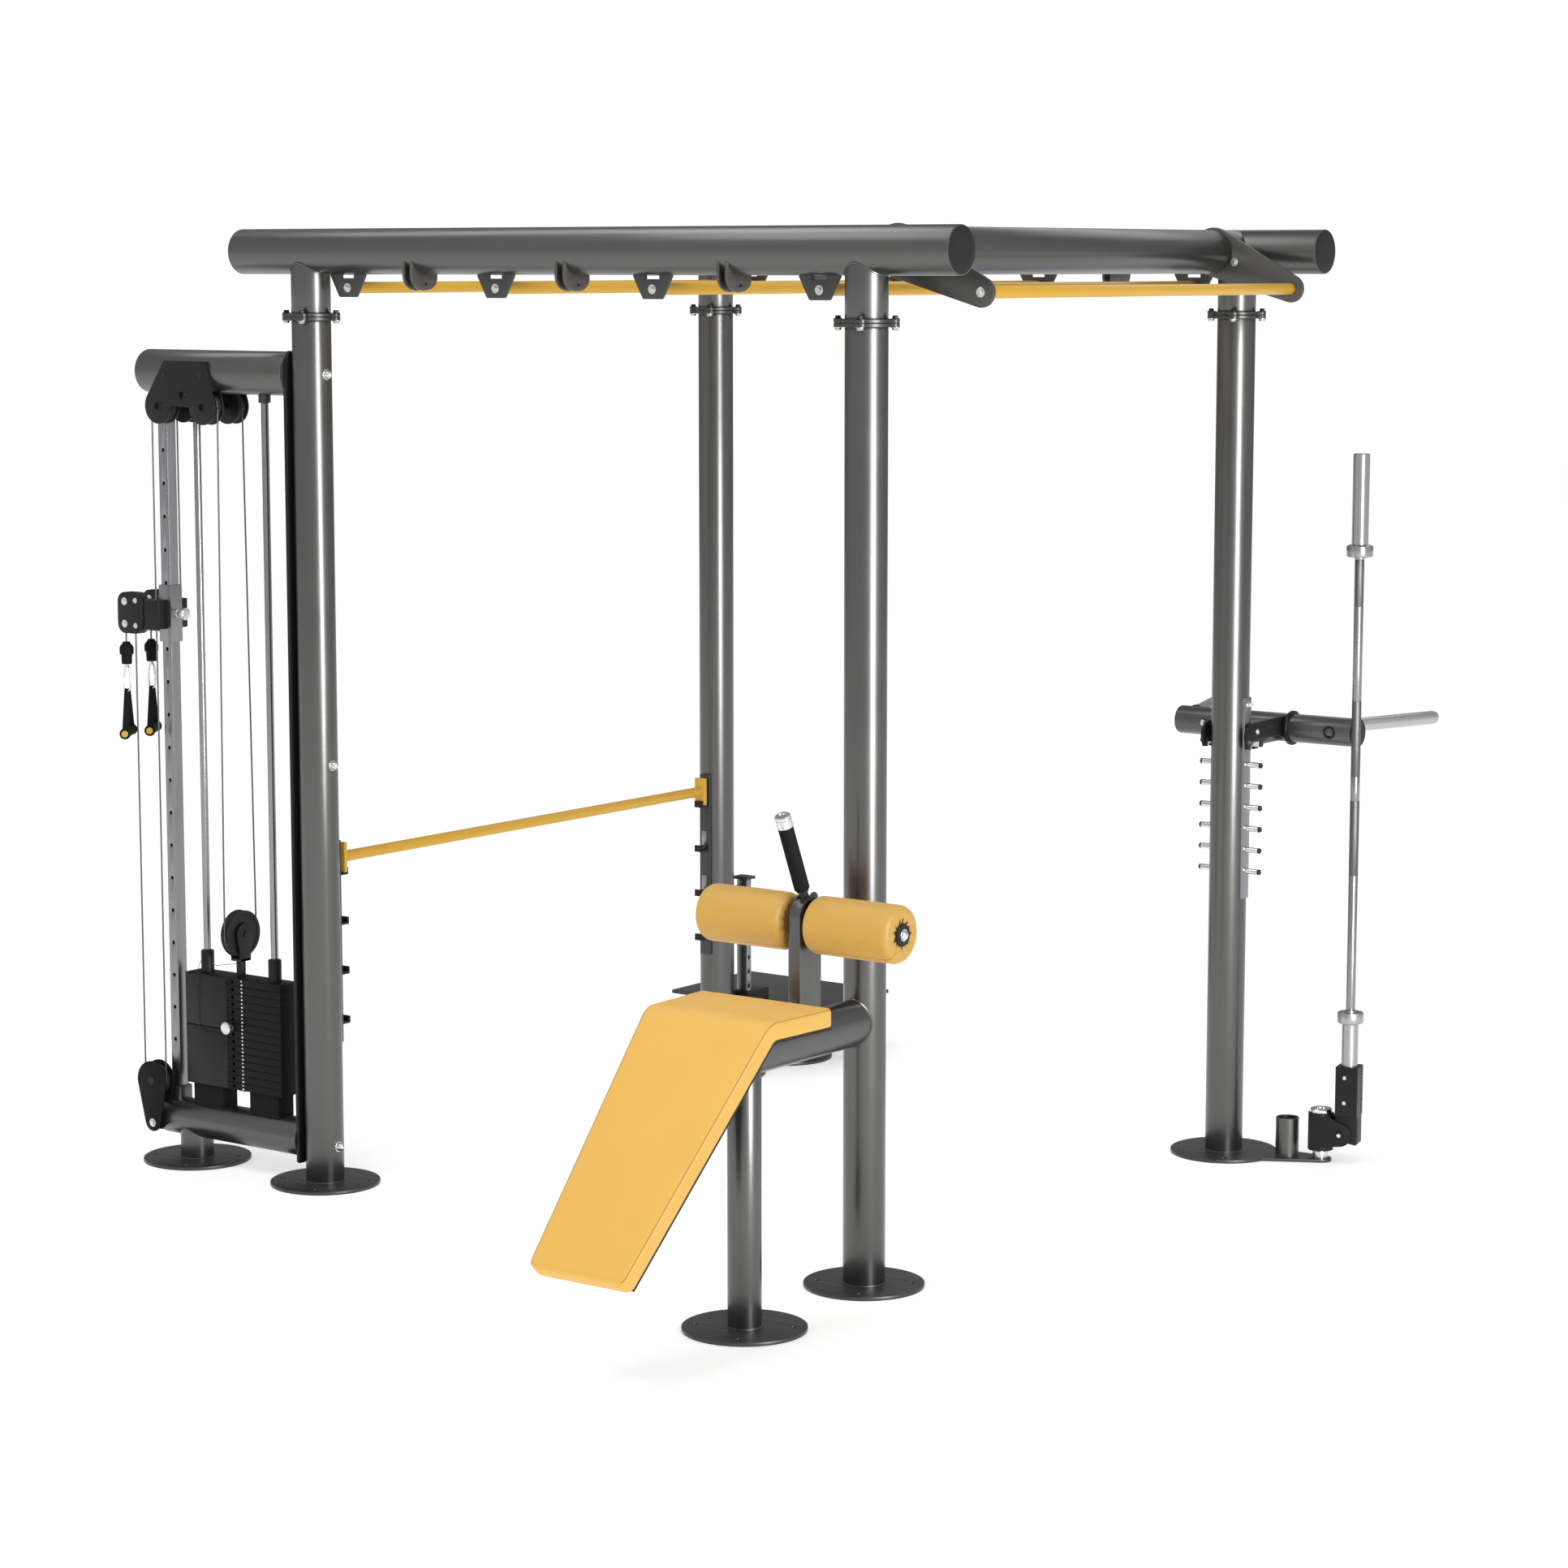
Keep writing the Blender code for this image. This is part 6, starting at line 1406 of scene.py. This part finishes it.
def barbell():
    """The shaft with its knurled stretches, and both sleeves."""
    x, y = BAR
    foot_z = 0.1183
    lower = Piece("sleeve_lower")
    lower.add(lathe((x, y, 0), Z_AXIS, [(foot_z, 0), (foot_z, 0.0240), (foot_z + 0.001, 0.0250), (0.432, 0.0250),
                                        (0.4345, 0.0330),
                                        (0.4370, 0.0385), (0.4400, 0.0400), (0.4660, 0.0400), (0.4690, 0.0385),
                                        (0.4700, 0.0340),
                                        (0.4700, 0.0265), (0.4660, 0.0250), (0.4660, 0.0180), (0.4740, 0.0175),
                                        (0.4740, 0.0144),
                                        (0.30, 0.0144), (0.30, 0)], 64), "sleeve")
    lower.done("landmine_holder", "chrome", "barbell_sleeve_lower")
    shaft = Piece("bar_shaft")
    marks = [(0.3003, 0.889, "rod"), (0.889, 1.118, "knurl"), (1.118, 1.191, "rod"), (1.191, 1.420, "knurl"),
             (1.420, 1.705, "rod"), (1.705, 1.846, "knurl"), (1.846, 1.9997, "rod")]
    for a, b, finish in marks:
        radius = 0.0140 if finish == "rod" else 0.0141
        shaft.add(lathe((x, y, a), Z_AXIS, [(0, 0), (0, radius - 0.0003), (0.0006, radius), (b - a - 0.0006, radius),
                                            (b - a, radius - 0.0003), (b - a, 0)], 56), finish)
    shaft.done("barbell_shaft", "chrome", "barbell_shaft")
    upper = Piece("sleeve_upper")
    upper.add(lathe((x, y, 0), Z_AXIS, [(2.00, 0), (2.00, 0.0144), (1.850, 0.0144), (1.850, 0.0175), (1.858, 0.0180),
                                        (1.858, 0.0250),
                                        (1.854, 0.0265), (1.854, 0.0340), (1.855, 0.0385), (1.858, 0.0400),
                                        (1.884, 0.0400),
                                        (1.887, 0.0385), (1.8895, 0.0330), (1.892, 0.0250), (BAR_TOP - 0.002, 0.0250),
                                        (BAR_TOP, 0.0235), (BAR_TOP, 0.0150), (BAR_TOP - 0.002, 0.0140),
                                        (BAR_TOP - 0.002, 0)],
                    64), "steel")
    upper.done("barbell_sleeve_upper", "chrome", "barbell_sleeve_upper")


bench_frame()
bench_pad()
bench_board()
rollers()
bench_grip()
dip_bar()
step()
landmine()
barbell()


# ---- stage and light ----------------------------------------------------------------------
def stage_floor():
    """A pale floor that glows a little, so that it stays as light as the room."""
    made = new_material("studio_floor", (0.90, 0.90, 0.90), 0.7, specular=0.1, spread=0.004, bump=0.0)
    shader = made.node_tree.nodes["Principled BSDF"]
    shader.inputs["Emission Color"].default_value = (1.0, 1.0, 1.0, 1.0)
    shader.inputs["Emission Strength"].default_value = 0.36
    mesh = bpy.data.meshes.new("floor")
    corners = [(x * FLOOR_HALF, y * FLOOR_HALF, 0) for x, y in ((-1, -1), (1, -1), (1, 1), (-1, 1))]
    mesh.from_pydata(corners, [], [(0, 1, 2, 3)])
    mesh.materials.append(made)
    item = bpy.data.objects.new("floor", mesh)
    bpy.context.scene.collection.objects.link(item)


def softbox(name, place, target, size, power, matt=True, gloss=True):
    """A soft rectangular lamp that the camera doesn't see; it may light only matt or only glossy rays."""
    data = bpy.data.lights.new(name, "AREA")
    data.shape = "RECTANGLE"
    data.size, data.size_y = size
    data.energy = power
    item = bpy.data.objects.new(name, data)
    item.location = ORIGIN + Vector(place)
    aim = ORIGIN + Vector(target) - item.location
    item.rotation_euler = aim.to_track_quat("-Z", "Y").to_euler()
    item.visible_camera = False
    item.visible_diffuse = matt
    item.visible_glossy = gloss
    bpy.context.scene.collection.objects.link(item)


DARK_SIDE = (-0.575, 0.795, 0.19)       # the dimmer end of the studio, behind the rig
ROOM_STRENGTH, SEEN_STRENGTH = 0.92, 1.05
FLOOR_HALF = 40


def studio():
    """An even pale room that looks dimmer in reflections toward DARK_SIDE, and its soft lamps."""
    world = bpy.data.worlds.new("studio")
    world.use_nodes = True
    tree = world.node_tree
    tree.nodes.clear()
    white = (1.0, 1.0, 1.0, 1.0)
    seen = add_node(tree, "Background", Color=white, Strength=SEEN_STRENGTH)
    room = add_node(tree, "Background")
    path = add_node(tree, "LightPath")
    place = add_node(tree, "TexCoord")
    toward = add_node(tree, "VectorMath", {"operation": "DOT_PRODUCT"})
    toward.inputs[1].default_value = DARK_SIDE
    shade = add_node(tree, "MapRange", {"interpolation_type": "SMOOTHSTEP"}, From_Min=-0.10, From_Max=0.92,
                     To_Min=ROOM_STRENGTH, To_Max=0.36)
    matt = add_node(tree, "Mix", {"data_type": "FLOAT"}, A=ROOM_STRENGTH)
    pick = add_node(tree, "MixShader")
    out = add_node(tree, "OutputWorld")
    join(tree, place, "Generated", toward, 0)
    join(tree, toward, "Value", shade, "Value")
    join(tree, path, "Is Glossy Ray", matt, "Factor")
    join(tree, shade, "Result", matt, "B")
    join(tree, matt, "Result", room, "Strength")
    join(tree, path, "Is Camera Ray", pick, "Fac")
    join(tree, room, "Background", pick, 1)
    join(tree, seen, "Background", pick, 2)
    join(tree, pick, "Shader", out, "Surface")
    bpy.context.scene.world = world
    bpy.context.scene.view_settings.view_transform = "Standard"
    softbox("strip", (5.2, -1.45, 3.0), (0.0, 0.5, 3.0), (1.5, 6.2), 760, matt=False)
    softbox("side_fill", (5.2, -1.45, 3.5), (0.0, 0.5, 1.5), (2.5, 5.0), 80, gloss=False)
    softbox("overhead", (-4.2, 0.9, 6.6), (-4.2, 0.9, 0.0), (6.0, 1.9), 75, matt=False)
    softbox("overhead_wide", (-2.0, -1.4, 6.7), (-2.0, -1.4, 0.0), (2.8, 4.2), 70, matt=False)
    softbox("high_back", (-1.6, 8.0, 6.6), (-0.6, 1.0, 2.7), (5.0, 3.0), 45, matt=False)
    softbox("top_fill", (-1.5, -3.5, 7.0), (-0.9, 0.8, 0.0), (4.0, 4.0), 140, gloss=False)


stage_floor()
studio()
